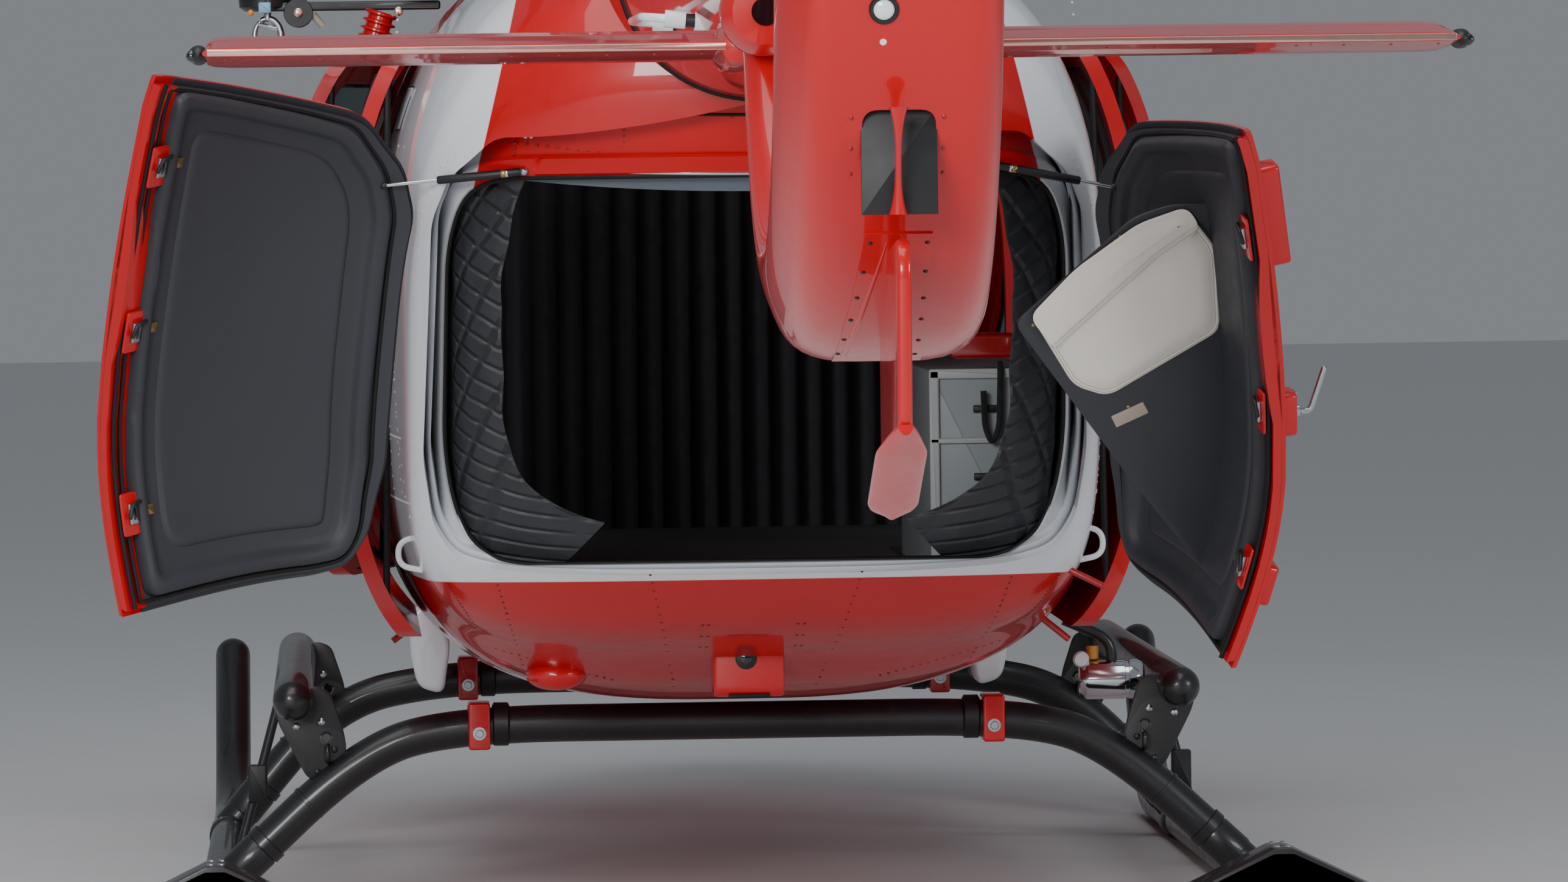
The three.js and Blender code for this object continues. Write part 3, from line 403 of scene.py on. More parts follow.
# A block with rounded corners and rims, centred
def block(centre, size, material, bevel=3, along=toPort, up=toTop, corner=None):
    width, height, depth = size
    corner = bevel if corner is None else corner
    outline = rounded([[-width / 2, -height / 2], [width / 2, -height / 2], [width / 2, height / 2],
                       [-width / 2, height / 2]], corner)
    out = np.cross(unit(along), unit(up))
    return slab(outline, np.asarray(centre, float) - out * depth / 2, along, up, depth, material, bevel)


# Domed rivet or screw heads: one small cap carried to every point
def heads(points, normals, radius, material, rise=0.45, facets=10):
    points, normals = np.atleast_2d(points).astype(float), unit(np.atleast_2d(normals))
    normals = np.broadcast_to(normals, points.shape)
    helper = np.where(np.abs(normals[:, 2:3]) < 0.8, [[0, 0, 1]], [[1, 0, 0]])
    first = unit(np.cross(helper, normals))
    second = np.cross(normals, first)
    angle = circle(facets)
    profile = np.array([[1, -0.3], [1, 0.1], [0.75, rise * 0.8], [0.3, rise]]) * radius
    ring = np.cos(angle)[:, None, None] * first + np.sin(angle)[:, None, None] * second
    cap = points + profile[:, None, None, 1:] * normals + profile[:, None, None, :1] * ring
    cap = cap.transpose(2, 0, 1, 3)
    faces = np.array([f for f in gridFaces(4, facets, wrapColumns=True)])
    ends = [np.arange(facets), np.arange(facets)[::-1] + 3 * facets]
    count = 4 * facets
    every = []
    for i in range(len(points)):
        every += (faces + i * count).tolist() + [(e + i * count).tolist() for e in ends]
    return cap.reshape(-1, 3), every, material


# A sheet of points given thickness along its own normals, rims included
def walled(outer, inner, material):
    rows, columns = outer.shape[:2]
    count = rows * columns
    faces = gridFaces(rows, columns) + [f[::-1] for f in gridFaces(rows, columns, start=count)]
    index = np.arange(count).reshape(rows, columns)
    rim = np.concatenate([index[0, :-1], index[:-1, -1], index[-1, :0:-1], index[:0:-1, 0]])
    faces += np.stack([rim, rim + count, np.roll(rim, -1) + count, np.roll(rim, -1)], -1).tolist()
    return np.concatenate([outer.reshape(-1, 3), inner.reshape(-1, 3)]), faces, material


# Points turned about the upright axis by an angle in degrees
def turnedAbout(p, degrees):
    turn = math.radians(degrees)
    return np.stack([p[:, 0] * math.cos(turn) - p[:, 1] * math.sin(turn),
                     p[:, 0] * math.sin(turn) + p[:, 1] * math.cos(turn), p[:, 2]], 1)


# A part whose points are changed by a function
def moved(part, change):
    points, faces, material = part
    return change(points), faces, material


# A part turned over to the other side, its faces' order too
def mirrored(part):
    points, faces, material = part
    return points * np.array([-1, 1, 1]), [f[::-1] for f in faces], material


# One mesh of several parts in metres of the frame, normals outwards, riding on its body
def makePiece(name, parts, replaces=(), body="airframe", sharp=38, bevel=0):
    points, faces, indices, names = [], [], [], []
    offset = 0
    for part in parts:
        place, polygons, material = part
        if material not in names:
            names.append(material)
        points.append(place)
        faces += [[i + offset for i in polygon] for polygon in polygons]
        indices += [names.index(material)] * len(polygons)
        offset += len(place)
    every = np.concatenate(points) / 1000 - np.array([0, originStation / 1000, 0])
    mesh = bpy.data.meshes.new(name)
    mesh.from_pydata(every.tolist(), [], faces)
    for material in names:
        mesh.materials.append(materials[material])
    mesh.polygons.foreach_set("material_index", indices)
    shape = bmesh.new()
    shape.from_mesh(mesh)
    bmesh.ops.recalc_face_normals(shape, faces=shape.faces)
    shape.to_mesh(mesh)
    shape.free()
    mesh.polygons.foreach_set("use_smooth", [True] * len(mesh.polygons))
    mesh.set_sharp_from_angle(angle=math.radians(sharp))
    mesh.update()
    piece = bpy.data.objects.new(name, mesh)
    bpy.context.scene.collection.objects.link(piece)
    if bevel:
        rim = piece.modifiers.new("roundedEdges", "BEVEL")
        rim.width, rim.segments, rim.limit_method = bevel / 1000, 2, "ANGLE"
        rim.angle_limit = math.radians(50)
        rim.harden_normals = False
    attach(piece, body)
    if replaces:
        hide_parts(*replaces)
    return piece


# Cross-sections: station, backward lean in degrees, half width, bottom, top, widest height,
# and how square the lower and upper halves are
hullSections = np.array([
    (0, 0, 60, 850, 960, 905, 2, 2), (60, 0, 190, 765, 1060, 905, 2, 2), (180, 0, 330, 675, 1190, 910, 2.1, 2),
    (400, 0, 490, 590, 1400, 930, 2.2, 2), (700, 0, 630, 530, 1650, 980, 2.4, 2.05),
    (1100, 0, 750, 492, 1915, 1060, 2.7, 2.2), (1600, 0, 815, 478, 2130, 1150, 3, 2.6),
    (2200, 0, 830, 475, 2220, 1230, 3.2, 3), (4300, 0, 830, 475, 2250, 1250, 3.2, 3),
    (4900, 8, 812, 490, 2250, 1250, 3.1, 3), (5400, 18, 786, 548, 2230, 1270, 3.8, 3),
    (5700, 26, 766, 628, 2200, 1290, 4.6, 2.8), (5880, 26, 746, 692, 2130, 1310, 5.2, 2.7),
    (5980, 26, 684, 780, 2060, 1330, 4.2, 2.7), (6070, 26, 568, 890, 1980, 1350, 3.4, 2.6),
    (6140, 26, 404, 1010, 1880, 1370, 2.8, 2.4), (6175, 26, 244, 1120, 1760, 1390, 2.4, 2.2),
    (6190, 26, 90, 1260, 1550, 1400, 2, 2)], float)
cowlSections = np.array([
    (1500, 0, 150, 2010, 2150, 2060, 2, 2), (1900, 0, 400, 1980, 2360, 2120, 2.4, 2.4),
    (2500, 0, 520, 1950, 2680, 2200, 2.8, 2.6), (3100, 0, 570, 1940, 2840, 2240, 3, 2.8),
    (3900, 0, 590, 1930, 2890, 2260, 3, 2.8), (4800, 0, 570, 1900, 2850, 2240, 3, 2.8),
    (5500, 0, 480, 1870, 2720, 2220, 2.8, 2.6), (6100, 0, 365, 1850, 2550, 2190, 2.4, 2.4),
    (6500, 0, 305, 1845, 2455, 2150, 2.1, 2.1)], float)
boomSections = np.array([
    (6501, 0, 304, 1846, 2454, 2150, 2.1, 2.1), (8000, 0, 232, 1868, 2372, 2118, 2.1, 2.1),
    (9300, 0, 180, 1880, 2318, 2100, 2.1, 2.1), (9850, 0, 160, 1885, 2330, 2105, 2.1, 2.1),
    (10300, 0, 150, 1850, 2520, 2120, 2.2, 2.2), (10700, 0, 140, 1800, 2700, 2150, 2.4, 2.4)], float)
hingeHeight = 1250


# Section values between the rows: a cubic whose slopes never overshoot the rows
def between(table, at):
    at = np.asarray(at, float)
    x, y = table[:, 0], table[:, 1:]
    step = np.diff(x)[:, None]
    rise = np.diff(y, axis=0) / step
    slope = np.zeros_like(y)
    same = rise[:-1] * rise[1:] > 0
    slope[1:-1] = np.where(same, 2 * rise[:-1] * rise[1:] / np.where(same, rise[:-1] + rise[1:], 1), 0)
    slope[0], slope[-1] = rise[0], rise[-1]
    i = np.clip(np.searchsorted(x, at) - 1, 0, len(x) - 2)
    h = step[i]
    t = ((at - x[i])[..., None]) / h
    return ((2 * t**3 - 3 * t**2 + 1) * y[i] + (t**3 - 2 * t**2 + t) * h * slope[i]
            + (3 * t**2 - 2 * t**3) * y[i + 1] + (t**3 - t**2) * h * slope[i + 1])


# Rings of a body: at each station a squared ellipse, leaning back, moved in by inset
def bodyRings(table, at, inset=0, columns=128):
    at = np.asarray(at, float)
    lean, half, low, high, wide, under, over = np.moveaxis(between(table, at), -1, 0)
    slope = (between(table, at + 1)[..., 1] - between(table, at - 1)[..., 1]) / 2
    slope[0], slope[-1] = slope[1], slope[-2]
    length = np.hypot(1, slope)
    shrink, shift = inset / length, inset * slope / length
    angle = circle(columns)[None]
    up = np.sin(angle) >= 0
    col = lambda v: v[:, None]
    power = 2 / np.where(up, col(over), col(under))
    rise = np.where(up, col(high - wide), col(wide - low)) - col(shrink)
    x = (col(half - shrink)) * np.sign(np.cos(angle)) * np.abs(np.cos(angle)) ** power
    z = col(wide) + rise * np.sign(np.sin(angle)) * np.abs(np.sin(angle)) ** power
    y = col(at + shift) + np.tan(np.radians(col(lean))) * (z - hingeHeight)
    return np.stack([x, y, z], -1)


# Station of the hull's rear surface behind a point of the rear view, by halving
def rearStation(x, z):
    low, high = np.full(np.shape(x), 5000), np.full(np.shape(x), 6190)
    for _ in range(22):
        middle = (low + high) / 2
        lean, half, bottom, top, wide, under, over = np.moveaxis(between(hullSections, middle), -1, 0)
        up = z >= wide
        power = np.where(up, over, under)
        rise = np.where(up, top - wide, wide - bottom)
        out = np.abs(x / half) ** power + np.abs((z - wide) / rise) ** power > 1
        high, low = np.where(out, middle, high), np.where(out, low, middle)
    return low + np.tan(np.radians(between(hullSections, low)[..., 0])) * (z - hingeHeight)


# Half width of the hull at a station and height, on its flank
def flankWidth(y, z):
    at = np.array(y, float)
    for _ in range(12):
        at = y - np.tan(np.radians(between(hullSections, np.clip(at, 0, 6190))[..., 0])) * (z - hingeHeight)
    lean, half, bottom, top, wide, under, over = np.moveaxis(between(hullSections, np.clip(at, 0, 6190)), -1, 0)
    up = z >= wide
    power = np.where(up, over, under)
    rise = np.where(up, top - wide, wide - bottom)
    return half * np.maximum(0, 1 - np.abs((z - wide) / rise) ** power) ** (1 / power)


# A part as a plain object for the cutting tools, normals outwards
def rawObject(part, name="cutter"):
    points, faces, _ = part
    mesh = bpy.data.meshes.new(name)
    mesh.from_pydata(np.asarray(points).tolist(), [], faces)
    shape = bmesh.new()
    shape.from_mesh(mesh)
    bmesh.ops.recalc_face_normals(shape, faces=shape.faces)
    shape.to_mesh(mesh)
    shape.free()
    item = bpy.data.objects.new(name, mesh)
    bpy.context.scene.collection.objects.link(item)
    return item


# One shape less, or kept inside, several others, as a part
def cut(part, cutters, material, operation="DIFFERENCE"):
    base = rawObject(part, "stock")
    tools = [rawObject(c) for c in cutters]
    for tool in tools:
        knife = base.modifiers.new("cut", "BOOLEAN")
        knife.object, knife.operation, knife.solver = tool, operation, "EXACT"
    graph = bpy.context.evaluated_depsgraph_get()
    result = base.evaluated_get(graph).to_mesh()
    points = np.empty(len(result.vertices) * 3)
    result.vertices.foreach_get("co", points)
    faces = [list(p.vertices) for p in result.polygons]
    base.evaluated_get(graph).to_mesh_clear()
    for item in [base, *tools]:
        bpy.data.objects.remove(item)
    return points.reshape(-1, 3), faces, material


# A prism with a side outline of (station, height), between two widths
def sidePrism(outline, widths, radius=40, steps=6):
    flat = rounded(outline, radius, steps) if radius else np.asarray(outline, float)
    points = np.stack([np.concatenate([np.full((len(flat), 1), w), flat], 1) for w in widths])
    return ringsPart(points, None)


# A prism with a rear outline of (width, height), between two stations
def rearPrism(outline, stations, radius=40, steps=6):
    flat = rounded(outline, radius, steps) if radius else np.asarray(outline, float)
    points = np.stack([np.stack([flat[:, 0], np.full(len(flat), s), flat[:, 1]], 1) for s in stations])
    return ringsPart(points, None)


# A point seen square to the hinge lines: across, distance up the lean, distance forward
def leaned(x, up, fore):
    turn = math.radians(hingeLine["leanAft"])
    x, up, fore = np.broadcast_arrays(x, up, fore)
    return np.stack([x, hingeLine["station"] + up * math.sin(turn) - fore * math.cos(turn),
                     hingeLine["height"] + up * math.cos(turn) + fore * math.sin(turn)], -1)


# The clamshell doorway as a prism square to the hinge lines, its outline moved inwards by gap
def doorwayPrism(gap, fore=150, outline=None, aft=-700):
    flat = rounded(shrunk(doorwayOutline if outline is None else outline, gap), 34)
    return ringsPart(np.stack([leaned(flat[:, 0], flat[:, 1], d) for d in (aft, fore)]), None)


# A closed shell between two depths under the hull, over a run of stations, its rear end closed by a low dome
def hullShell(stations, outer, inner, columns=128):
    out = bodyRings(hullSections, stations, outer, columns)
    into = bodyRings(hullSections, stations, inner, columns)
    if stations[-1] > 6150:
        shares = np.array([0.75, 0.45, 0.15, 0.02])[:, None, None]
        dome = lambda last, rise: last.mean(0) + (last - last.mean(0)) * shares + (1 - shares**2) * [0, rise, 0]
        out = np.concatenate([out, dome(out[-1], 5)])
        into = np.concatenate([into, dome(into[-1], outer * 0.7 + 5 - inner * 0.7)])
    rows, count = out.shape[:2]
    points = np.concatenate([out, into[::-1]])
    faces = gridFaces(2 * rows, count, wrapRows=True, wrapColumns=True)
    return points.reshape(-1, 3), faces, None


openings = {
    "windscreen": [[-200, 1090], [900, 1020], [1000, 1085], [1490, 1990], [1490, 2700], [-200, 2700]],
    "chin": [[170, 680], [250, 850], [700, 900], [800, 690], [640, 590], [380, 590]],
    "cockpitDoor": [[1090, 660], [1090, 1010], [1190, 1225], [1600, 1985], [2150, 1990], [2150, 660]],
    "cockpitPane": [[1210, 1090], [1270, 1240], [1640, 1915], [2080, 1920], [2080, 1090]],
    "slidingDoor": [[2215, 660], [2215, 1990], [3850, 1995], [3850, 660]],
    "slidingPane": [[2330, 1100], [2330, 1915], [3730, 1915], [3730, 1100]],
    "rearPane": [[3985, 1250], [3985, 1925], [4330, 1900], [4760, 1560], [4620, 1290]],
}
openings = {name: np.array(points, float) for name, points in openings.items()}
# The clamshell doors' hinge lines lean in and back, and the doorway is cut square to them
hingeLine = {"x": 745, "station": 5922, "height": 1250, "leanIn": 6.6, "leanAft": 24.5}
openAngle = {"port": 133, "starboard": 99}
doorHalf = [[560, -441], [650, -425], [698, -349], [719, -185], [696, 394], [658, 506], [560, 624]]
doorwayOutline = np.array(doorHalf + [[0, 756]] + [[-x, up] for x, up in doorHalf[::-1]], float)
openingHalf = [[540, 842], [616, 890], [656, 980], [676, 1110], [664, 1540], [630, 1650], [560, 1688]]
openingOutline = np.array(openingHalf + [[-x, z] for x, z in openingHalf[::-1]], float)
wholeWidth = (-1200, 1200)


skinThick = 32
skinRuns = ((2, 700, 16), (760, 2200, 18), (2400, 4300, 8), (4450, 5700, 14), (5740, 5980, 9), (6000, 6186, 14))
sideReach = 1200  # past the widest part of the body
windowFrom = {"windscreen": 28, "chin": 170, "side": 200}  # half widths from which a window is cut


# The body's skin as one shell, with its windows and doorways cut through
def fuselageSkin():
    skin = hullShell(np.concatenate([np.linspace(*run) for run in skinRuns]), 0, skinThick)
    knives = [sidePrism(openings[name], sorted((sign * windowFrom[name], sign * sideReach)), corner)
              for sign in (1, -1) for name, corner in (("windscreen", 0), ("chin", 40))]
    knives += [sidePrism(openings[name], wholeWidth, corner)
               for name, corner in (("cockpitDoor", 60), ("slidingDoor", 90), ("rearPane", 60))]
    body = cut(skin, knives + [doorwayPrism(0)], "liveryPaint")
    makePiece("fuselage_skin", [body], ("nose_shell", "roof_shell", "belly_shell", "side_frame_port",
                                                "side_frame_starboard"), bevel=2)


fuselageSkin()
print("body skin made")


# Skin met by a line square to the doorway at (across, distance up the lean), and the point a depth below it
def doorSkin(x, up, depth=0):
    turn = math.radians(hingeLine["leanAft"])
    x, up = np.broadcast_arrays(np.asarray(x, float), np.asarray(up, float))

    def outer(x, up):
        fore = np.zeros(x.shape)
        for _ in range(8):
            height = hingeLine["height"] + up * math.cos(turn) + fore * math.sin(turn)
            station = rearStation(x, height)
            fore = (hingeLine["station"] + up * math.sin(turn) - station) / math.cos(turn)
        return leaned(x, up, fore)

    here = outer(x, up)
    normal = unit(np.cross(outer(x + 2, up) - outer(x - 2, up), outer(x, up + 2) - outer(x, up - 2)))
    normal = normal * np.where(normal[..., 1:2] > 0, -1, 1)
    return here + normal * np.asarray(depth, float)[..., None], normal


rearStations = np.concatenate([np.linspace(5000, 5700, 12), np.linspace(5740, 5980, 10), np.linspace(6000, 6188, 16)])


# Point of the surface that lies a depth under the hull's skin, where the rear view shows (x, z), and its way out
def onFrame(x, z, depth=0):
    x, z = np.broadcast_arrays(np.asarray(x, float), np.asarray(z, float))
    skin = lambda a, b: np.stack([a, rearStation(a, b), b], -1)
    a, b = x, z
    for _ in range(5):
        way = unit(np.cross(skin(a + 2, b) - skin(a - 2, b), skin(a, b + 2) - skin(a, b - 2)))
        way = way * np.where(way[..., 1:2] < 0, -1, 1)
        here = skin(a, b) - way * depth
        a, b = a + x - here[..., 0], b + z - here[..., 2]
    return here, way


# Depths under the hull's skin, how far the frame reaches past the doorway and inside it, and what sits on it.
# The lip is given as (distance outside the opening, depth), the band of rivets as rises over its lower edge.
rearFrame = {"web": 40, "plate": 74, "back": 88, "outside": 14, "inside": 16,
                "lip": [(1, 96), (1, 70), (6, 60), (38, 58), (44, 63), (44, 86)], "lipCorner": 60,
                "seal": 7, "beadDepth": 67, "bead": 4.5, "lintelDepth": 100, "lintelThick": 5,
                "pegs": (-470, -290, -100, 100, 290, 470), "pegLong": 16, "rivet": 3, "stud": 7,
                "joints": (-520, -288, -60, 60, 288, 520), "bandRows": (6, 96), "rowsOutside": 66,
                "pinFrom": 38, "pinTo": 4, "pin": 6}


# The frame is the hull's shell between two depths, kept round the doorway and pierced by the opening
def landing():
    ring = cut(hullShell(rearStations, rearFrame["web"], rearFrame["back"]),
               [doorwayPrism(rearFrame["inside"], 300)], None)
    shape = cut(ring, [hullShell(rearStations, rearFrame["plate"], rearFrame["back"])], None, "UNION")
    shape = cut(shape, [doorwayPrism(-rearFrame["outside"])], None, "INTERSECT")
    parts = [cut(shape, [rearPrism(openingOutline, (5300, 7000), 34)], "landingPaint")]
    # raised lip round the opening: rings at growing distance from its edge, each at its own depth
    edge = evenLoop(rounded(openingOutline, rearFrame["lipCorner"], 9), 240)
    lip = [onFrame(*inward(edge, -gap).T, depth)[0] for gap, depth in rearFrame["lip"]]
    parts.append((np.concatenate(lip), gridFaces(len(lip), len(edge), wrapRows=True, wrapColumns=True), "lipPaint"))
    # dark rubber on the lip's inner edge, and a bright bead along the top of the opening
    closed = np.concatenate([edge, edge[:1]])
    parts.append(tube(onFrame(*closed.T, rearFrame["plate"])[0], rearFrame["seal"], rubber, 12))
    run = np.linspace(-540, 540, 60)
    bead = onFrame(run, 1690 + 22 * (run / 540) ** 2, rearFrame["beadDepth"])[0]
    parts.append(tube(bead, rearFrame["bead"], "polishedRod", 10))
    # lintel inside the top of the opening, with its pegs
    share = np.linspace(0, 1, 5)[:, None]
    run = np.linspace(-560, 560, 50)[None]
    low = 1652 + 36 * (run / 560) ** 2
    sheet = onFrame(run + 0 * share, low + (1706 - low) * share, rearFrame["lintelDepth"])[0]
    parts.append(walled(sheet, sheet - [0, rearFrame["lintelThick"], 0], "lintelGrey"))
    for x in rearFrame["pegs"]:
        peg = onFrame(x, 1690, 90)[0]
        parts.append(tube([peg, peg + [0, rearFrame["pegLong"], 0]], 6, "cabinBeige", 14))
    # rivets: two rows and six joints of the red band, and rows beside the doorway
    spots = [(x, 1718 + 46 * (x / 579) ** 2 + rise) for x in np.linspace(-560, 560, 52)
             for rise in rearFrame["bandRows"]]
    spots += [(x, z) for x in rearFrame["joints"] for z in np.arange(1736, 1812, 12)]
    around = evenLoop(shrunk(openingOutline, -rearFrame["rowsOutside"]), 129, True)
    spots += [tuple(p) for p in around if p[1] < 1640 and abs(p[0]) < 700]
    parts.append(heads(*onFrame(*np.array(spots).T, rearFrame["plate"]), rearFrame["rivet"], "rivetSkin", 0.3, 8))
    studs = np.array([(496, 1776), (484, 1776), (-496, 1776)])
    parts.append(heads(*onFrame(*studs.T, rearFrame["plate"]), rearFrame["stud"], steel, 0.35, 16))
    for sign in (1, -1):
        foot = np.array(strut["foot"]) * [sign, 1, 1]
        pin = [foot - [0, rearFrame["pinFrom"], 0], foot - [0, rearFrame["pinTo"], 0]]
        parts.append(tube(pin, rearFrame["pin"], steel, 16))
    makePiece("rear_frame_detail", parts, ("rear_frame",), bevel=1.2)


strut = {"foot": (499, 6233.7, 1700), "eye": (600, 6157.8, 1650), "body": 190, "rod": 171}


# Direction of a side's hinge line, from its two leans
def hingeAxis(sign):
    leanIn, leanAft = math.radians(hingeLine["leanIn"]), math.radians(hingeLine["leanAft"])
    return unit([-sign * math.tan(leanIn), math.tan(leanAft), 1])


# Points turned about a side's hinge line by an angle in degrees
def swung(points, side, angle):
    sign = sides[side]
    origin, axis = np.array([sign * hingeLine["x"], hingeLine["station"], hingeLine["height"]]), hingeAxis(sign)
    arm = np.asarray(points, float) - origin
    turn = math.radians(-sign * angle)
    return (origin + arm * math.cos(turn) + np.cross(axis, arm) * math.sin(turn)
            + axis * (arm @ axis)[..., None] * (1 - math.cos(turn)))


doorHalfOutline = np.array([[5, -441]] + doorHalf + [[5, 752]], float)


# Moulded sheet on a door's inner face: rings step in from its outline, each at its own depth under the skin
def relief(outline, steps, material, radius=34, fill=10, wall=9):
    rings = [evenLoop(rounded(shrunk(outline, gap), max(radius - 0.25 * gap, 16), 6), 220) for gap, _ in steps]
    depths = [depth for _, depth in steps]
    last = rings[-1]
    for share in np.linspace(0.1, 0.97, fill):
        rings.append(last * (1 - share) + last.mean(0) * share)
        depths.append(depths[-1])
    flat = np.stack(rings)
    depth = np.broadcast_to(np.array(depths)[:, None], flat.shape[:2])
    points, normal = doorSkin(flat[..., 0], flat[..., 1], depth)
    back = points[::-1] - normal[::-1] * wall
    return ringsPart(np.concatenate([back, points]), material)


# A point under the door's skin, with the directions across, up and inwards there
def onDoor(x, up, depth):
    step = 4
    point, normal = doorSkin(np.array([x, x + step, x]), np.array([up, up, up + step]), np.array([depth] * 3))
    return point[0], unit(point[1] - point[0]), unit(point[2] - point[0]), normal[0]


# Depths under the skin, gaps inside the doorway's edge, and the trims as (gap from their outline, depth)
doorMade = {"skin": 11, "rimDepth": (10.6, 16), "pan": (10, 32), "skinGap": 10, "rimGap": 11.5,
            "panGap": 26, "reach": 20, "edgeFrom": 4, "trimFrom": 62, "columns": 160,
            "trim": [(0, 26), (1, 40), (5, 50), (12, 54), (24, 54), (32, 50), (38, 42), (46, 38), (60, 38)],
            "panel": [(0, 36), (2, 39), (7, 43), (14, 44), (30, 44)], "trimGap": 30, "panelGap": 78,
            "seal": 5, "sealGap": 25, "sealDepth": 31, "edgeSealDepth": 33}


# Layers between depths under the hull, each kept inside the doorway's prism and on its own side of an edge strip
def doorShell():
    def layer(depths, gap, widths, material):
        keepBox = [[5000, 300], [7000, 300], [7000, 2800], [5000, 2800]]
        inside = [doorwayPrism(gap, doorMade["reach"]), sidePrism(keepBox, widths, 0)]
        return cut(hullShell(rearStations, *depths, doorMade["columns"]), inside, material, "INTERSECT")

    whole, leaf = (doorMade["edgeFrom"], sideReach), (doorMade["trimFrom"], sideReach)
    parts = [layer((0, doorMade["skin"]), doorMade["skinGap"], whole, red),
             layer(doorMade["pan"], doorMade["panGap"], leaf, "grainedTrim"),
             layer(doorMade["pan"], doorMade["panGap"], (doorMade["edgeFrom"], doorMade["trimFrom"] - 0.5),
                   red),
             layer(doorMade["rimDepth"], doorMade["rimGap"], leaf, "grainedTrim")]
    run = np.linspace(-425, 735, 50)
    edgeSeal = doorSkin(20 + 0 * run, run, doorMade["edgeSealDepth"] + 0 * run)[0]
    parts.append(tube(edgeSeal, doorMade["seal"], rubber, 12))
    trim = shrunk(doorHalfOutline, doorMade["trimGap"])
    trim[0, 0] = trim[-1, 0] = doorMade["trimFrom"]
    parts.append(relief(trim, doorMade["trim"], "grainedTrim"))
    # pressed panel inside the trim, and the flatter field towards the hinge
    parts.append(relief(shrunk(trim, doorMade["panelGap"]), doorMade["panel"], "flatTrimPanel", 60))
    # bulb seal lying on the pan
    loop = evenLoop(rounded(shrunk(doorHalfOutline, doorMade["sealGap"]), 30, 7), 220, True)
    bulb = doorSkin(np.maximum(loop[:, 0], 42), loop[:, 1], doorMade["sealDepth"])[0]
    parts.append(tube(bulb, doorMade["seal"], rubber, 12))
    return parts


# Latch on the free edge: a round pressed flange, black hook, slotted plate, brass tab and rivets
def latch(up, reach=46):
    here, along, upward, normal = onDoor(52, up, 40)
    arc = np.linspace(-np.pi / 2, np.pi / 2, 24)
    half = np.stack([reach * np.cos(arc), reach * np.sin(arc)], 1)
    half = np.concatenate([[[-34, -reach]], half, [[-34, reach]]])
    parts = [slab(rounded(half, 6, 4), here, along, upward, 6, red, 1.8)]
    top = here + normal * 6
    parts.append(block(top - along * 6 + normal * 4, (24, 44, 8), steel, 2, along, upward))
    # Black strip on the plate: painted shade of its slot
    parts.append(block(top - along * 6 + normal * 8.6, (6, 26, 1), blackGlassAndShade, 0.4, along, upward))
    hook = [top + upward * 20 + along * 22, top + upward * 24 + along * 16 + normal * 9,
            top + upward * 20 - along * 12 + normal * 11, top - upward * 6 - along * 20 + normal * 9]
    parts.append(tube(roundPath(hook, 10, 6), 4.5, plastic, 14, dome=True))
    parts.append(block(top + along * (reach + 2) - normal * 1, (28, 22, 5), brass, 1.2, along, upward))
    turn = np.radians([-58, -8, 52])
    spots = top + np.cos(turn)[:, None] * along * reach * 0.74 + np.sin(turn)[:, None] * upward * reach * 0.74
    parts.append(heads(spots, normal, 4, brass, 0.4, 14))
    return parts


# The board and what is on it as (station, height), at a distance to starboard; the door is made shut
board = {"face": 296, "thick": 8, "corner": 26, "rivet": 4,
         "outline": [[5818, 1638], [6150, 1690], [6230, 1668], [6330, 1600], [6280, 1400], [6160, 1170],
                     [6000, 950], [5880, 850], [5845, 1200]],
         "placard": [[5880, 1311], [5954, 1299], [5956, 1327], [5883, 1339]], "placardThick": 1.4,
         "rivets": [(6090, 1668), (6104, 1670), (6214, 1652), (6226, 1648), (5925, 1335), (5850, 1610), (5900, 900),
                    (5940, 940)]}


# Board in the starboard door with a blank placard and rivets: outlines given thickness
def doorBoard():
    face = board["face"]
    placard = rounded(board["placard"], 2, 3)
    rivets = np.array([(face, y, z) for y, z in board["rivets"]], float)
    return [slab(rounded(board["outline"], board["corner"]), (face, 0, 0), toAft, toTop,
                 board["thick"], "flatTrimPanel", 1.5),
            slab(placard, (face - 1.2, 0, 0), toAft, toTop, board["placardThick"], "placardBeige", 0.3),
            heads(rivets, toStarboard, board["rivet"], brass, 0.4, 14)]


pouchOutline = np.array([[5856, 1630], [5990, 1664], [6150, 1672], [6252, 1644], [6262, 1530], [6176, 1368],
                         [5900, 1382], [5852, 1445]], float)


# Slack cloth over an outline: it rises from its hem, sags with low folds and is thickened by its own cloth
def clothOver(outline, rise, folds, material, face):
    gaps = [0, 3, 6, 10, 16, 26, 40]
    rings = [rounded(shrunk(outline, gap), 26, 8) for gap in gaps]
    last = rings[-1]
    shares = np.linspace(0.08, 0.98, 16)
    rings = np.stack(rings + [last * (1 - share) + last.mean(0) * share for share in shares])
    lift = np.array([0.4, 3.2, 3.4, 3, 6, 11, 13.5] + [13.5 + 2 * share for share in shares]) * rise
    y, z = rings[..., 0], rings[..., 1]
    wave = np.sin(y / 37 + z / 61) * np.sin(z / 29 - y / 90) + 0.6 * np.sin((y * 0.4 + z) / 17)
    depth = lift[:, None] + folds * wave * np.clip(lift[:, None] / 14 - 0.2, 0, 1)
    outer = np.stack([face - depth, y, z], -1)
    back = outer[::-1] + np.array([1.6, 0, 0])
    return ringsPart(np.concatenate([back, outer]), material)


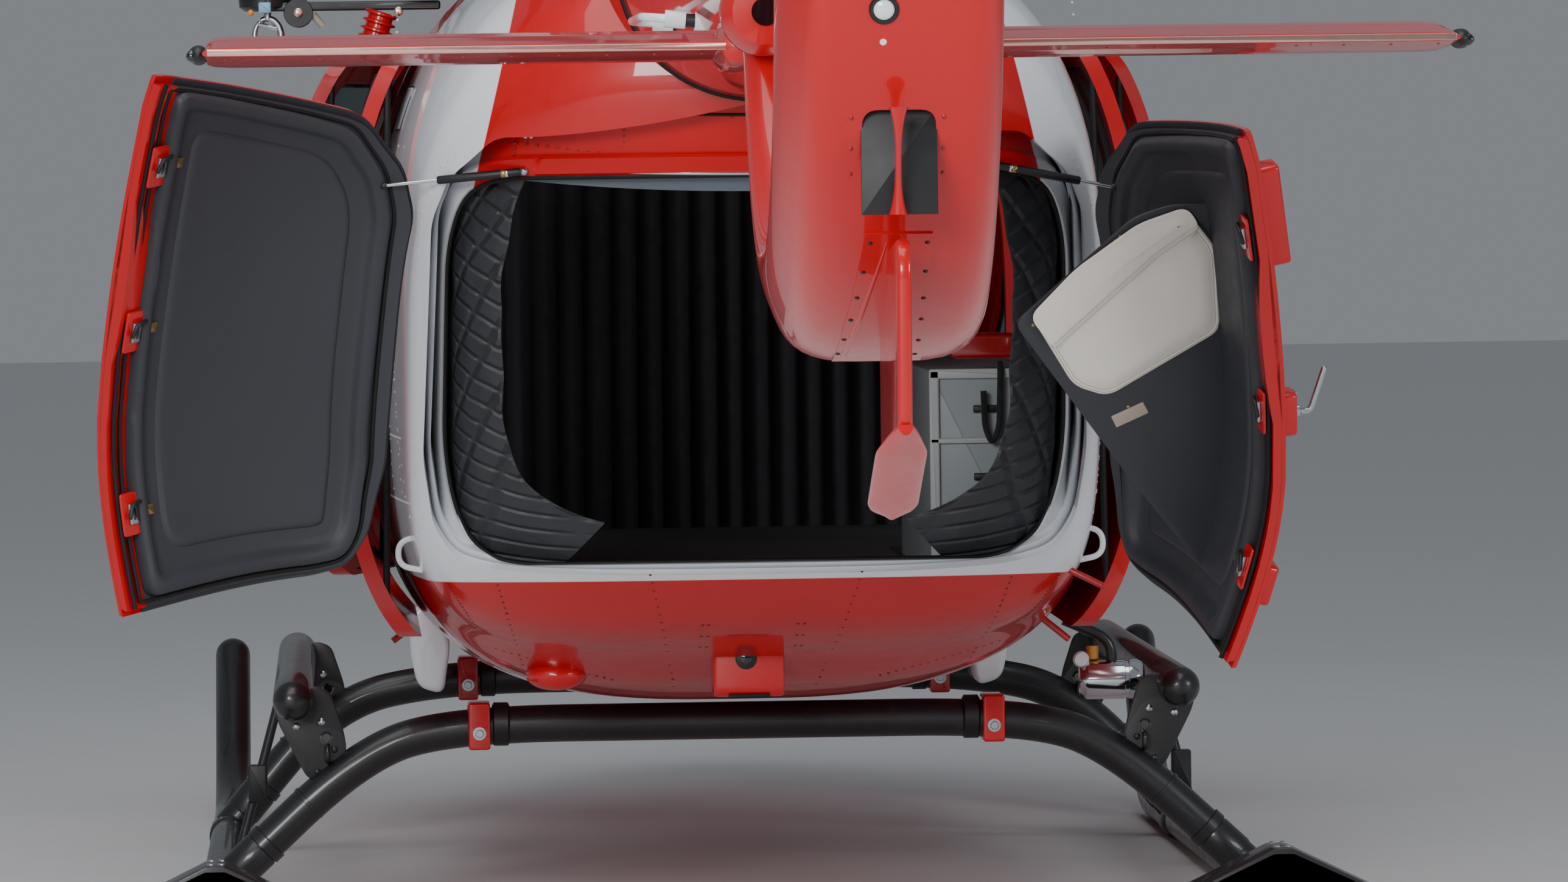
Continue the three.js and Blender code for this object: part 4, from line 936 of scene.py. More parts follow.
pouch = {"face": 295, "rise": 0.9, "folds": 1.5, "flapRise": 0.35, "flapFolds": 0.8, "flapOut": 12,
         "corner": 26,
         "flap": [[5852, 1636], [5988, 1670], [6150, 1678], [6256, 1650], [6256, 1590], [6140, 1588], [5860, 1538]],
         "seamGaps": (5, 11), "seamOut": 3.4, "thread": 0.7, "flapThread": 0.8, "flapSeams": (0, 8),
         "flapSeamOut": 17.2, "hem": 4.5, "hemOut": 1.5}


# Bag and flap of slack cloth, rows of stitches along their edges, and a bound hem
def doorPouch():
    def upright(y, z, out):
        return np.stack([pouch["face"] - out + 0 * y, y, z], 1)

    face = pouch["face"]
    parts = [clothOver(pouchOutline, pouch["rise"], pouch["folds"], "creamPouchCloth", face),
             clothOver(np.array(pouch["flap"], float), pouch["flapRise"], pouch["flapFolds"], "creamPouchCloth",
                       face - pouch["flapOut"])]
    for gap in pouch["seamGaps"]:
        seam = rounded(shrunk(pouchOutline, gap), pouch["corner"], 8)
        seam = np.concatenate([seam, seam[:1]])
        parts.append(tube(upright(*seam.T, pouch["seamOut"]), pouch["thread"], "pouchThread", 6))
    for drop in pouch["flapSeams"]:
        run = np.linspace(0, 1, 40)
        z = 1545 + 46 * np.clip(run / 0.72, 0, 1) + 3 * np.clip((run - 0.72) / 0.28, 0, 1) - drop + 10
        parts.append(tube(upright(5866 + 384 * run, z, pouch["flapSeamOut"]), pouch["flapThread"], "pouchThread", 6))
    hem = rounded(pouchOutline, pouch["corner"], 8)
    hem = hem[(hem[:, 0] > 6170) & (hem[:, 1] < 1640)]
    hem = hem[np.argsort(-hem[:, 1])]
    parts.append(tube(upright(hem[:, 0] + 3, hem[:, 1], pouch["hemOut"]), pouch["hem"], "blackBinding", 10))
    parts = [moved(mirrored(part), lambda p: swung(p, "starboard", openAngle["starboard"])) for part in parts]
    piece = makePiece("door_pouch_detail", parts, ("door_pouch",), "clamshell_starboard_leaf",
                      sharp=70)


# Housings as (distance up the door, height, depth), and the crank's hub
locks = {"housings": ((545, 220, 52), (105, 96, 40), (-262, 90, 36)), "across": 36, "wide": 60,
         "crankUp": 105, "crankOut": 26, "screws": (-22, -36), "screw": 7.5, "crank": 6.5}


# Lock housings and crank outside the free edge of the starboard door
def lockHousings():
    parts = []
    for up, tall, deep in locks["housings"]:
        here, along, upward, normal = onDoor(locks["across"], up, -4)
        size = (locks["wide"], tall, deep)
        parts.append(block(here - normal * (deep / 2 - 18), size, red, 7, along, upward, 14))
    here, along, upward, normal = onDoor(locks["across"], locks["crankUp"], -locks["crankOut"])
    parts.append(block(here + upward * 22 - normal * 1, (26, 44, 3), steel, 1, along, upward))
    for drop in locks["screws"]:
        parts.append(heads([here + upward * drop], -normal, locks["screw"], steel, 0.5, 16))
    crank = [here - normal * 2, here - normal * 34 - upward * 6, here - normal * 66 + upward * 86]
    parts.append(tube(roundPath(crank, 16, 8), locks["crank"], steel, 20, dome=True))
    parts.append(turned([(hair, -6), (13, -6), (13, 10), (9, 13), (hair, 13)], here, -normal, steel, 28))
    return parts


latchHeights = {"port": (540, 165, -240), "starboard": (500, 110, -240)}


# One door: shell, latches and strut bracket made shut on the port side, mirrored for starboard and swung open
def clamshell(side):
    parts = doorShell()
    for up in latchHeights[side]:
        parts += latch(up)
    eye = np.array(strut["eye"])
    parts.append(block(eye + [26, 14, -4], (70, 46, 5), plastic, 1.5, toPort, (0, 0.4, 1)))
    if side == "starboard":
        parts = [mirrored(part) for part in parts + doorBoard() + lockHousings()]
    parts = [moved(part, lambda p: swung(p, side, openAngle[side])) for part in parts]
    makePiece("clamshell_detail_" + side, parts, ("clamshell_door_" + side,), f"clamshell_{side}_leaf",
              bevel=1)


strutMade = {"barrel": 9, "bore": 5.4, "boreFrom": 10, "rod": 3.9,
             "bands": ((34, 40, "polishedRod"), (40, 50, brass)),
             "ball": [(hair, -10), (6, -8), (9.5, -3), (9.5, 3), (6, 8), (hair, 10)],
             "eye": [(hair, -8), (5.5, -7), (8, -3), (8, 3), (5.5, 7), (hair, 8)]}


# Gas strut: turned cylinder with a ball foot and bands, and a bright rod with a ball eye, along one line
def gasStrut(side):
    flip = [sides[side], 1, 1]
    foot, length = np.array(strut["foot"]) * flip, strut["body"]
    eye = swung(np.array(strut["eye"]) * flip, side, openAngle[side])
    way, span, wide, bore = unit(eye - foot), np.linalg.norm(eye - foot), strutMade["barrel"], strutMade["bore"]
    body = [(hair, -4), (6, -4), (7, 8), (wide, 12), (wide, length - 3), (7.5, length), (bore, length),
            (bore, strutMade["boreFrom"]), (hair, strutMade["boreFrom"])]
    parts = [turned(body, foot, way, plastic, 28), turned(strutMade["ball"], foot, toAft, steel, 24)]
    parts += [turned([(wide - 0.1, a), (wide + 0.4, a + 1), (wide + 0.4, b - 1), (wide - 0.1, b)], foot, way, kind,
                     28, (False, False)) for a, b, kind in strutMade["bands"]]
    makePiece("strut_body_detail_" + side, parts, ("strut_cylinder_" + side,), "strut_body_" + side)
    parts = [plug(strutMade["rod"], span - strut["rod"], span - 6, foot, way, "polishedRod", 24),
             turned(strutMade["eye"], eye, way, plastic, 24)]
    makePiece("strut_rod_detail_" + side, parts, ("strut_rod_" + side,), "strut_piston_" + side)


landing()
for side in sides:
    clamshell(side)
    gasStrut(side)
doorPouch()
print("rear frame and clamshell doors made")


tail = {"station": 10700, "height": 2200, "duct": 583, "rim": 812}
# Corners of the shroud's section: radius, across, rounding at the back and rounding underneath
shroudCorners = np.array([(812, 136, 22, 92), (812, -168, 62, 120), (650, -170, 40, 40), (582, -112, 40, 40),
                          (582, 96, 40, 40), (622, 196, 46, 46), (700, 188, 60, 60)], float)


def shroudRing():
    angle = circle(160)
    under = np.clip(-np.sin(angle), 0, 1) ** 2
    rings = []
    for turn, share in zip(angle, under):
        radii = shroudCorners[:, 2] * (1 - share) + shroudCorners[:, 3] * share
        section = rounded(shroudCorners[:, :2], radii, 8)
        rings.append(np.stack([section[:, 1], tail["station"] + section[:, 0] * math.cos(turn),
                               tail["height"] + section[:, 0] * math.sin(turn)], 1))
    rings = np.stack(rings)
    return rings.reshape(-1, 3), gridFaces(*rings.shape[:2], wrapRows=True, wrapColumns=True), None


# A disc-shaped cutter on the shroud's axis
def ductPlug():
    radius = tail["duct"]
    return turned([(radius, -500), (radius, 500)], (0, tail["station"], tail["height"]), toPort, None, 120)


# Upright surface: at each height a nose, a tail edge and a half thickness, with a smooth section between
def finRings(table, count=26, columns=48):
    table = np.asarray(table, float)
    heights = np.linspace(table[0, 0], table[-1, 0], count)
    fore, aft, half, lean = np.moveaxis(between(table, heights), -1, 0)
    turn = circle(columns)
    run = (1 - np.cos(turn)) / 2
    thick = np.sign(np.sin(turn)) * np.abs(np.sin(turn)) ** 0.72 * (1.25 - 0.85 * run)
    x = lean[:, None] + half[:, None] * thick[None]
    y = fore[:, None] + (aft - fore)[:, None] * run[None]
    return np.stack([x, y, np.broadcast_to(heights[:, None], x.shape)], -1)


# Depth of the shroud's rim behind the axis at a height
def rimStation(z):
    return tail["station"] + np.sqrt(tail["rim"] ** 2 - (np.asarray(z, float) - tail["height"]) ** 2)


def onRim(x, z, out=0):
    x, z = np.broadcast_arrays(np.asarray(x, float), np.asarray(z, float))
    way = np.stack([0 * x, rimStation(z) - tail["station"], z - tail["height"]], -1) / tail["rim"]
    return np.stack([x, rimStation(z), z], -1) + way * out, way


slot = {"half": 59, "low": 1640, "high": 1802, "front": 11385, "corner": 26, "post": 11432}
# Fin rows: height, nose, tail edge, half thickness, offset. Lamp and doubler are places on the rim, (across, height)
fin = {"rows": [(2440, 10060, 11470, 118, -12), (2900, 10420, 11520, 92, -6), (3300, 10670, 11572, 74, -3),
                (3800, 10980, 11630, 56, 0), (3960, 11090, 11648, 46, 0), (3998, 11150, 11640, 22, 0)],
       "lamp": (26, 1960), "dot": (27, 1909),
       "screws": [(x, z) for x in (76, -72) for z in (1790, 1741, 1701)],
       "fasteners": [(40, 1592), (49, 1545), (56, 1503), (63, 1466), (70, 1433), (76, 1408), (-52, 1592), (-52, 1545),
                     (-52, 1501), (-52, 1466), (-52, 1430), (-51, 1406)], "flanges": ((13, 66), (-13, -24)),
       "doubler": (1606, 212), "doublerOut": 3}
lampRing = [(hair, -20), (24, -20), (24, 2), (22, 5), (19, 5), (17, 1), (hair, 1)]
lampLens = [(hair, 0), (16.5, 0), (16.5, 2), (12, 5.5), (6, 7.4), (hair, 8)]
dotLens = [(hair, -3), (5.5, -3), (5.5, 0.6), (4.8, 1.2), (hair, 1.2)]


# Shroud ring pierced by the slot, upright fin and boom's fairing cut by the duct, and what is fixed on the rim
def tailFin():
    outline = np.array([[-1, 0], [1, 0], [1, 1], [-1, 1]]) * [slot["half"], slot["high"] - slot["low"]]
    knife = rearPrism(outline + [0, slot["low"]], (slot["front"], 11900), slot["corner"], 8)
    neck = bodyRings(boomSections, np.linspace(9840, 10690, 14), 0, 72)
    parts = [cut(shroudRing(), [knife], red)]
    parts += [cut(ringsPart(rings, None), [ductPlug()], red) for rings in (finRings(fin["rows"]), neck)]
    # strut standing in the slot: an ellipse at each height, flared at both ends, before a black plate on the slot's
    # back wall that is painted shade of the recess
    high = np.linspace(slot["low"] - 4, slot["high"] + 4, 24)
    width = 5.5 + 9.5 * np.abs((high - high.mean()) / (high[-1] - high.mean())) ** 3
    turn = circle(20)
    post = np.stack([np.stack([w * np.cos(turn) + 4, slot["post"] + (7 + 0.7 * w) * np.sin(turn) + 0.30 * (h - 1720),
                               h + 0 * turn], 1) for w, h in zip(width, high)])
    parts.append(ringsPart(post, red))
    parts.append(block((0, slot["front"] + 3, 1721), (122, 170, 3), plastic, 1))
    for spot, profile, kind, segments in (("lamp", lampRing, plastic, 40), ("lamp", lampLens, "lensWhite", 40),
                                          ("dot", dotLens, "lensWhite", 24)):
        parts.append(turned(profile, *onRim(*fin[spot]), kind, segments))
    for spots, out, radius, kind in (("screws", 0, 4, "redHardware"), ("fasteners", 3, 4.2, darkMetal)):
        parts.append(heads(*onRim(*np.array(fin[spots], float).T, out), radius, kind))
    # doubler under the slot, with the flanges of the bumper blade
    for x0, x1 in fin["flanges"]:
        run = np.linspace(0, 1, 14)
        path = onRim(x0 + (x1 - x0) * run, 1592 - 186 * run, 0.5)[0]
        parts.append(tube(path, np.linspace(3, 6, 14), red, 12, dome=True))
    down, share = np.linspace(0, 1, 16)[:, None], np.linspace(0, 1, 9)[None]
    x = (48 + 34 * down) * (1 - share) + (-60 - 4 * down) * share
    z = np.broadcast_to(fin["doubler"][0] - fin["doubler"][1] * down, x.shape)
    parts.append(walled(onRim(x, z, fin["doublerOut"])[0], onRim(x, z, -4)[0], red))
    makePiece("tail_fin_detail", parts, ("tail_fin",), bevel=1.5)


# The foot runs forwards and down from its root, as (station, height), and widens by the given half width
blade = {"outline": [[10960, 1560], [11462, 1600], [11494, 1560], [11466, 1292], [11380, 1258], [11052, 1150],
                     [10955, 1210]], "thick": 23, "corner": 26, "bevel": 8, "footFrom": (11472, 1296),
         "footRun": (432, 150), "footRoot": 11.5, "footWider": 30, "footThick": 8.5, "footCrown": 6}


# Blade: a rounded plate. Foot: flat ovals along a slope, widening fast and round at the toe
def bumper():
    parts = [slab(rounded(blade["outline"], blade["corner"]), (-blade["thick"] / 2, 0, 0), toAft,
                  toTop, blade["thick"], red, blade["bevel"])]
    run = np.linspace(0, 1, 22)[:, None]
    toe = np.sqrt(np.clip(1 - np.clip((run - 0.9) / 0.1, 0, 1) ** 2, 0, 1))
    half = blade["footRoot"] + blade["footWider"] * np.clip(run / 0.3, 0, 1) ** 0.8 * toe
    turn = circle(28)
    oval = np.sign(np.sin(turn)) * np.abs(np.sin(turn)) ** 0.8
    station, height = (start - reach * run for start, reach in zip(blade["footFrom"], blade["footRun"]))
    rings = np.stack([np.maximum(half, 1) * np.cos(turn), station + 0 * turn,
                      height + blade["footThick"] * oval + blade["footCrown"] * np.cos(turn) ** 2], -1)
    parts.append(ringsPart(rings, red))
    makePiece("tail_bumper_detail", parts, ("tail_bumper",))


bulge = {"at": (160, 10180, 1976), "mouthAft": 88, "mouth": 24,
         "profile": [(hair, -260), (30, -230), (62, -120), (76, 0), (74, 60), (56, 84), (hair, 90)]}


# Rings of the boom's sections, a seal round its front, and a turned bulge on the port side whose mouth is a black disc
# of painted shade
def boom():
    parts = [ringsPart(bodyRings(boomSections, np.linspace(6501, 9850, 40), 0, 96), red)]
    arc = bodyRings(boomSections, [6499, 6501, 6503], -1, 96)[1]
    parts.append(tube(np.concatenate([arc, arc[:2]]), 6, rubber, 10))
    parts.append(turned(bulge["profile"], bulge["at"], toAft, red, 40))
    mouth = np.array(bulge["at"]) + [0, bulge["mouthAft"], 0]
    parts.append(plug(bulge["mouth"], 0, 4, mouth, toAft, blackGlassAndShade, 32))
    makePiece("tail_boom_detail", parts, ("tail_boom",))


# Section as (station from its nose, height), then each ring's distance out and how far its section shrinks
plane = {"top": [(0, 0), (20, 20), (70, 31), (140, 34), (240, 27), (330, 17), (400, 9)],
         "low": [(400, -5), (330, -13), (240, -20), (140, -23), (70, -20), (20, -12)], "nose": 9000,
         "height": 1925,
         "out": (60, 400, 800, 1080, 1112, 1124, 1130), "squeeze": (1, 1, 1, 1, 0.92, 0.74, 0.3), "screw": 3,
         "lamp": [(hair, -46), (15, -46), (18, -30), (18, 10), (14, 30), (7, 40), (hair, 43)],
         "glass": [(hair, 0), (12, 0), (11, 8), (6, 14), (hair, 16)], "collars": (112, 186),
         "root": [(hair, -210), (26, -200), (40, -120), (46, 0), (42, 120), (28, 200), (hair, 214)]}


# The section carried out along each side and drawn in at the tip, with lamps, edge strip, screws and fairings
def stabilizer():
    section = resample(np.array(plane["top"] + plane["low"] + plane["top"][:1], float), 73)[:-1]
    parts = []
    for sign in (1, -1):
        rings = [np.stack([np.full(72, w * sign), plane["nose"] + 200 + (section[:, 0] - 200) * (0.985 + 0.015 * q),
                           plane["height"] + section[:, 1] * q], 1) for w, q in zip(plane["out"], plane["squeeze"])]
        parts.append(ringsPart(np.stack(rings), red))
        parts.append(block((sign * 612, 9401, 1927), (1020, 12.5, 4), "brightEdge", 1))
        parts.append(turned(plane["lamp"], (sign * 1138, 9318, 1924), toAft, plastic, 28))
        parts.append(turned(plane["glass"], (sign * 1146, 9340, 1922), (sign * 0.7, 0.7, 0), blackGlassAndShade, 24))
        screws = np.stack([np.linspace(150, 1090, 12) * sign, np.full(12, 9385), np.full(12, 1914.5)], 1)
        parts.append(heads(screws, (0, 0.2, -1), plane["screw"], "redHardware"))
        parts.append(turned(plane["root"], (sign * 172, 9200, plane["height"]), toAft, red, 36))
    collar = rounded(np.array([[-52, -46], [52, -46], [52, 46], [-52, 46]], float), 30) * [3.4, 1]
    parts += [slab(collar, (x, 9215, 1927), toAft, toTop, 9, red, 3) for x in plane["collars"]]
    makePiece("stabilizer_detail", parts, ("stabilizer",))


rail = {"feet": (7500, 8190), "out": 305, "height": 1998, "bend": 55, "radius": 8.5}
# Each foot's sleeves: from and to (across, height), radius and finish
railFoot = (((196, 1988), (232, 1991), 13, plastic), ((222, 1990), (262, 1994), 17, white),
            ((168, 1986), (204, 1988), 24, white))


# A rail bent out and back along the boom, on sleeved feet
def antennaRail():
    front, back = rail["feet"]
    path = [(188, front, 1988), (rail["out"], front, rail["height"]), (rail["out"], back, rail["height"]),
            (188, back, 1988)]
    parts = [tube(roundPath(path, rail["bend"], 10), rail["radius"], white, 20)]
    for station in rail["feet"]:
        for (x0, z0), (x1, z1), radius, kind in railFoot:
            parts.append(tube([(x0, station, z0), (x1, station, z1)], radius, kind, 24))
    makePiece("antenna_rail_detail", parts, ("antenna_rail",))


# Rings of the cowl's sections, closed at both ends
def cowl():
    hood = bodyRings(cowlSections, np.linspace(1502, 6499, 60), 0, 112)
    makePiece("engine_cowl_detail", [ringsPart(hood, "cowlPaint")], ("engine_cowl",))


# Latch clips over the dark gap between the cowl and the riveted band
def cowlLatches():
    parts = []
    gap = lambda x: 1813 + 39 * (np.asarray(x, float) / 532) ** 2
    for x in (415, 311, 158, -158, -311, -415):
        here, way = onFrame(np.array([x]), gap([x]) + 14, 70)
        up = np.cross((1, 0, 0), way[0])
        parts.append(block(here[0], (24, 30, 9), brass if abs(x) < 200 else steel, 3, toPort, up,
                           corner=7))
        parts.append(block(here[0] + [-22, 0, 2], (20, 12, 6), "redHardware", 2, toPort, up))
        parts.append(heads(here + way * 4, way, 5, darkMetal, 0.3, 14))
    run = np.linspace(-490, 490, 60)
    parts.append(tube(onFrame(run, gap(run), 73)[0], 3.2, rubber, 10))
    makePiece("cowl_latches", parts)


# Grille corners as (station, height), and rivet rows from one (height, station) to another
quarters = {"grille": [[5090, 1798], [5150, 1884], [5340, 1884], [5280, 1798]], "louvres": 13, "louvre": 4.5,
            "rivet": 3, "pitch": 26, "doorwayRows": (22, 60),
            "rows": ((1700, 1700, 4900, 5500), (1560, 1560, 5100, 5600), (980, 980, 5000, 5700),
                     (1000, 1660, 5560, 5560), (1000, 1660, 5330, 5330), (1120, 1120, 5100, 5640))}


# White rear quarters: louvred grille, small pane, and rivet rows, all laid on the flank's width at each point
def rearQuarters():
    parts = []
    corners = np.array(quarters["grille"], float)
    for sign in (1, -1):
        flank = lambda y, z, out=0: np.stack([sign * (flankWidth(y, z) + out), y, z], -1)
        for share in np.linspace(0.04, 0.96, quarters["louvres"]):
            low = corners[0] * (1 - share) + corners[3] * share
            high = corners[1] * (1 - share) + corners[2] * share
            path = low + (high - low) * np.linspace(0, 1, 8)[:, None]
            parts.append(tube(flank(path[:, 0], path[:, 1], 1), quarters["louvre"], "grilleGrey", 10))
        y, z = np.meshgrid(np.linspace(0, 1, 6), np.linspace(0, 1, 6))
        y, z = 5085 + 195 * y + 60 * z, 1792 + 98 * z
        # Black sheet behind the louvres: painted shade between them
        parts.append(walled(flank(y, z, 1.5), flank(y, z, -4), blackGlassAndShade))
        y, z = np.meshgrid(np.linspace(0, 1, 10), np.linspace(0, 1, 10))
        y, z = 4640 + 240 * y * (1 - 0.35 * z), 1788 + 120 * z
        parts.append(walled(flank(y, z, 2), flank(y, z, -4), blackGlassAndShade))
        for z0, z1, y0, y1 in quarters["rows"]:
            count = int(math.hypot(z1 - z0, y1 - y0) / quarters["pitch"])
            spots = flank(np.linspace(y0, y1, count), np.linspace(z0, z1, count))
            parts.append(heads(spots, (sign, 0.2, 0), quarters["rivet"], "rivetWhite", 0.3, 8))
        for out in quarters["doorwayRows"]:
            loop = evenLoop(shrunk(doorwayOutline, -out), 189, True)
            loop = loop[(loop[:, 1] < 560) & (loop[:, 1] > -420) & (sign * loop[:, 0] > 0)]
            place, way = doorSkin(loop[:, 0], loop[:, 1], 0)
            parts.append(heads(place, -way, quarters["rivet"], "rivetWhite", 0.3, 8))
    makePiece("rear_quarter_fittings", parts)


lining = {"inset": 96, "from": 3900, "to": 6030, "thick": 7, "lowest": 788, "wave": 5, "openBelow": -0.93,
          "matInset": 97, "mat": (778, 789)}


# Quilted lining: the hull's rings moved in, with a slow wave towards their middle, over a floor mat
def cabinLining():
    out = bodyRings(hullSections, np.linspace(lining["from"], lining["to"], 40), lining["inset"], 128)
    keep = np.where(np.sin(circle(128)) > lining["openBelow"])[0]
    wall = out[:, np.concatenate([keep[keep >= 96], keep[keep < 96]])]
    wall[..., 2] = np.maximum(wall[..., 2], lining["lowest"])
    y, z = wall[..., 1:2], wall[..., 2:3]
    wave = lining["wave"] * np.sin(y / 61 + z / 43) * np.sin(z / 87)
    inside = unit((wall.mean(1, keepdims=True) - wall) * [1, 0, 1])
    parts = [walled(wall + inside * wave, wall + inside * (wave + lining["thick"]), "quiltedLining")]
    inner = ringsPart(bodyRings(hullSections, np.linspace(5545, 6050, 16), lining["matInset"]), None)
    low, high = lining["mat"]
    mat = sidePrism([[5500, low], [6100, low], [6100, high], [5500, high]], wholeWidth, 0)
    parts.append(cut(inner, [mat], "floorGrey", "INTERSECT"))
    makePiece("cabin_lining", parts, sharp=60)


# The dark sheet that paints the cabin's shade: half width, station, heights, sag, folds and cloth thickness
shadeDrape = {"half": 690, "station": 2480, "low": 730, "top": 1960, "sag": 130, "folds": 21, "foldDeep": 22,
         "clothMm": 2.5}


# Dark curtain behind the front seats, painted shade that keeps the cabin dark and hides the windscreen beyond: a sheet
# from floor to roof whose folds are a sine across, deeper at the foot
def paintedShadeCurtain():
    run, heights = np.linspace(0, 1, 180), np.linspace(0, 1, 24)[:, None]
    x = -shadeDrape["half"] + 2 * shadeDrape["half"] * run
    fold = shadeDrape["foldDeep"] * np.sin(run * 2 * np.pi * shadeDrape["folds"]) + 6 * np.sin(run * 40)
    z = shadeDrape["low"] + (shadeDrape["top"] - shadeDrape["sag"] * np.abs(x / shadeDrape["half"]) ** 3 - shadeDrape["low"]) * heights
    sheet = np.stack([np.broadcast_to(x, z.shape), shadeDrape["station"] + fold * (0.7 + 0.3 * (1 - heights)), z], -1)
    cloth = walled(sheet, sheet + [0, shadeDrape["clothMm"], 0], "seatCloth")
    shadeSheet = makePiece("painted_shade_curtain", [cloth], sharp=80)


tailFin()
bumper()
boom()
stabilizer()
antennaRail()
cowl()
cowlLatches()
rearQuarters()
cabinLining()
paintedShadeCurtain()
print("tail, boom and cowl made")


gear = {"halfTrack": 1190, "tube": 45, "cross": 43, "front": 2600, "rear": 4600, "toe": 1400,
        "heel": 5350, "beam": 1015, "beamHeight": 496, "beamRadius": 46}
crosstubeKnees = {"front": 260, "rear": 330}


# Sections of the settling plate's roof and ribs, as (across from the skid, height)
shoe = {"roof": [[-235, 60], [-20, 165], [20, 165], [235, 60], [235, 50], [22, 152], [-22, 152], [-235, 50]],
        "rib": [[-150, 62], [-10, 138], [10, 138], [150, 62], [60, 62], [0, 92], [-60, 62]], "long": 200,
        "ribs": (60, 220), "bolt": 7, "clamp": [(-95, 44.9), (-88, 50), (88, 50), (95, 44.9)]}


# Skid tube with a raised toe, clamps round the crosstubes' feet, and a plate's section carried along the heel
def skid(side):
    x, heel = sides[side] * gear["halfTrack"], gear["heel"]
    path = roundPath([(x, gear["toe"], 430), (x, gear["toe"] + 380, 45), (x, heel, 45)], 240, 18)
    parts = [tube(path, gear["tube"], powder, 36, dome=True)]
    bolts = [(x + dx, heel - 140 + dy, 168) for dx in (-12, 12) for dy in (-60, 60)]
    for station in (gear["front"], gear["rear"]):
        run, radius = np.array(shoe["clamp"]).T
        parts.append(tube([(x, station + along, 45) for along in run], radius, powder, 36))
        clampBolts = [(x + dx, station + dy, 96 - abs(dx) * 0.3) for dx in (-18, 18) for dy in (-70, 70)]
        parts.append(heads(clampBolts, toTop, shoe["bolt"], steel, 0.5, 6))
    sheets = [("roof", heel - 40, shoe["long"], 1.5)] + [("rib", heel - back, 8, 1) for back in shoe["ribs"]]
    for shape, station, long, bevel in sheets:
        section = rounded(np.array(shoe[shape], float) + [x, 0], 5, 4)
        parts.append(slab(section, (0, station, 0), toPort, toTop, long, powder, bevel))
    parts.append(heads(bolts, toTop, shoe["bolt"], steel, 0.5, 6))
    makePiece("skid_detail_" + side, parts, ("skid_" + side,))


# Sleeves as shares of the leg's length and a radius; collars and the bracket as places across
cross = {"sleeves": ((0.12, 0.30, 45.5), (0.30, 0.36, 47.5), (0.62, 0.64, 44.5)), "collars": (596, 540),
         "bracket": 590, "bracketSize": (50, 108, 120),
         "bolt": [(hair, 0), (15, 0), (15, 2.5), (9.5, 2.6), (9.5, 8), (8, 9.5), (hair, 9.5)]}


# Bent tube across the belly, its legs in sleeves, hung from two red brackets with a bolt each
def crosstube(which):
    station, knee = gear[which], gear["halfTrack"] - crosstubeKnees[which]
    leg = [(gear["halfTrack"], station, 62), (knee, station, 370), (640, station, 430)]
    parts = [tube(roundPath([(-x, y, z) for x, y, z in leg] + leg[::-1], 250, 20), gear["cross"], powder,
                  40)]
    for sign in (1, -1):
        foot, top = np.array([sign * leg[0][0], *leg[0][1:]]), np.array([sign * knee, station, 370])
        for low, high, radius in cross["sleeves"]:
            a, b = foot + (top - foot) * low, foot + (top - foot) * high
            parts.append(tube([a, a + (b - a) * 0.08, b - (b - a) * 0.08, b], [43.1, radius, radius, 43.1],
                              powder, 36))
        for x in cross["collars"]:
            ring = [(sign * (x + d), station, 430) for d in (-20, -16, 16, 20)]
            parts.append(tube(ring, [43.1, 50, 50, 43.1], plastic, 36))
        at = sign * cross["bracket"]
        parts.append(block((at, station, 428), cross["bracketSize"], red, 5, corner=8))
        parts.append(turned(cross["bolt"], (at, station + 60, 412), toAft, steel, 28))
    makePiece("crosstube_detail_" + which, parts, ("crosstube_" + which,))


# Plate and its fasteners as (across, height), and the hook on it as (behind its face, height)
step = {"plate": [[930, 512], [968, 525], [1062, 490], [1050, 440], [985, 312], [942, 305], [893, 372], [900, 420]],
        "bright": ((950, 442), (1008, 432)), "dark": ((922, 378), (962, 328)), "hole": (940, 405), "hook": 938,
        "hookPath": ((12, 352), (34, 356), (34, 384), (12, 388)), "stay": 3620, "thick": 18,
        "eyelet": [(hair, 0), (15, 0), (15, 2), (11, 2.2), (10, 0.8), (hair, 0.8)]}


# Step tube along the side, held by a bolted plate on each crosstube and a stay down to the skid
def stepBeam(side):
    sign = sides[side]
    x, z = sign * gear["beam"], gear["beamHeight"]
    run = np.linspace(gear["front"] - 120, gear["rear"] + 90, 6)
    parts = [tube(np.stack([x + 0 * run, run, z + 0 * run], 1), gear["beamRadius"], powder, 40, dome=True)]
    plate = rounded(np.array(step["plate"]) * [sign, 1], 18, 6)
    for station in (gear["front"], gear["rear"]):
        face = station + step["thick"] / 2
        parts.append(slab(plate, (0, face, 0), toPort, toTop, step["thick"], powder, 2.5))
        for spots, radius, kind in (("bright", 9, steel), ("dark", 8, darkMetal)):
            bolts = np.array([(sign * x, face, z) for x, z in step[spots]])
            parts.append(heads(bolts, toAft, radius, kind, 0.5, 20))
        x, z = step["hole"]
        # The eyelet is all black: painted shade of the hole
        parts.append(turned(step["eyelet"], (sign * x, face, z), toAft, blackGlassAndShade, 28))
        hook = [(sign * step["hook"], station + out, z) for out, z in step["hookPath"]]
        parts.append(tube(roundPath(hook, 9, 6), 6, powder, 14))
    stay = [(sign * 1046, step["stay"], 470), (sign * 1150, step["stay"], 88)]
    parts.append(tube(stay, 11, powder, 18))
    parts.append(block((sign * 1108, step["stay"], 238), (46, 90, 46), plastic, 5))
    makePiece("step_beam_detail_" + side, parts, ("step_beam_" + side,))


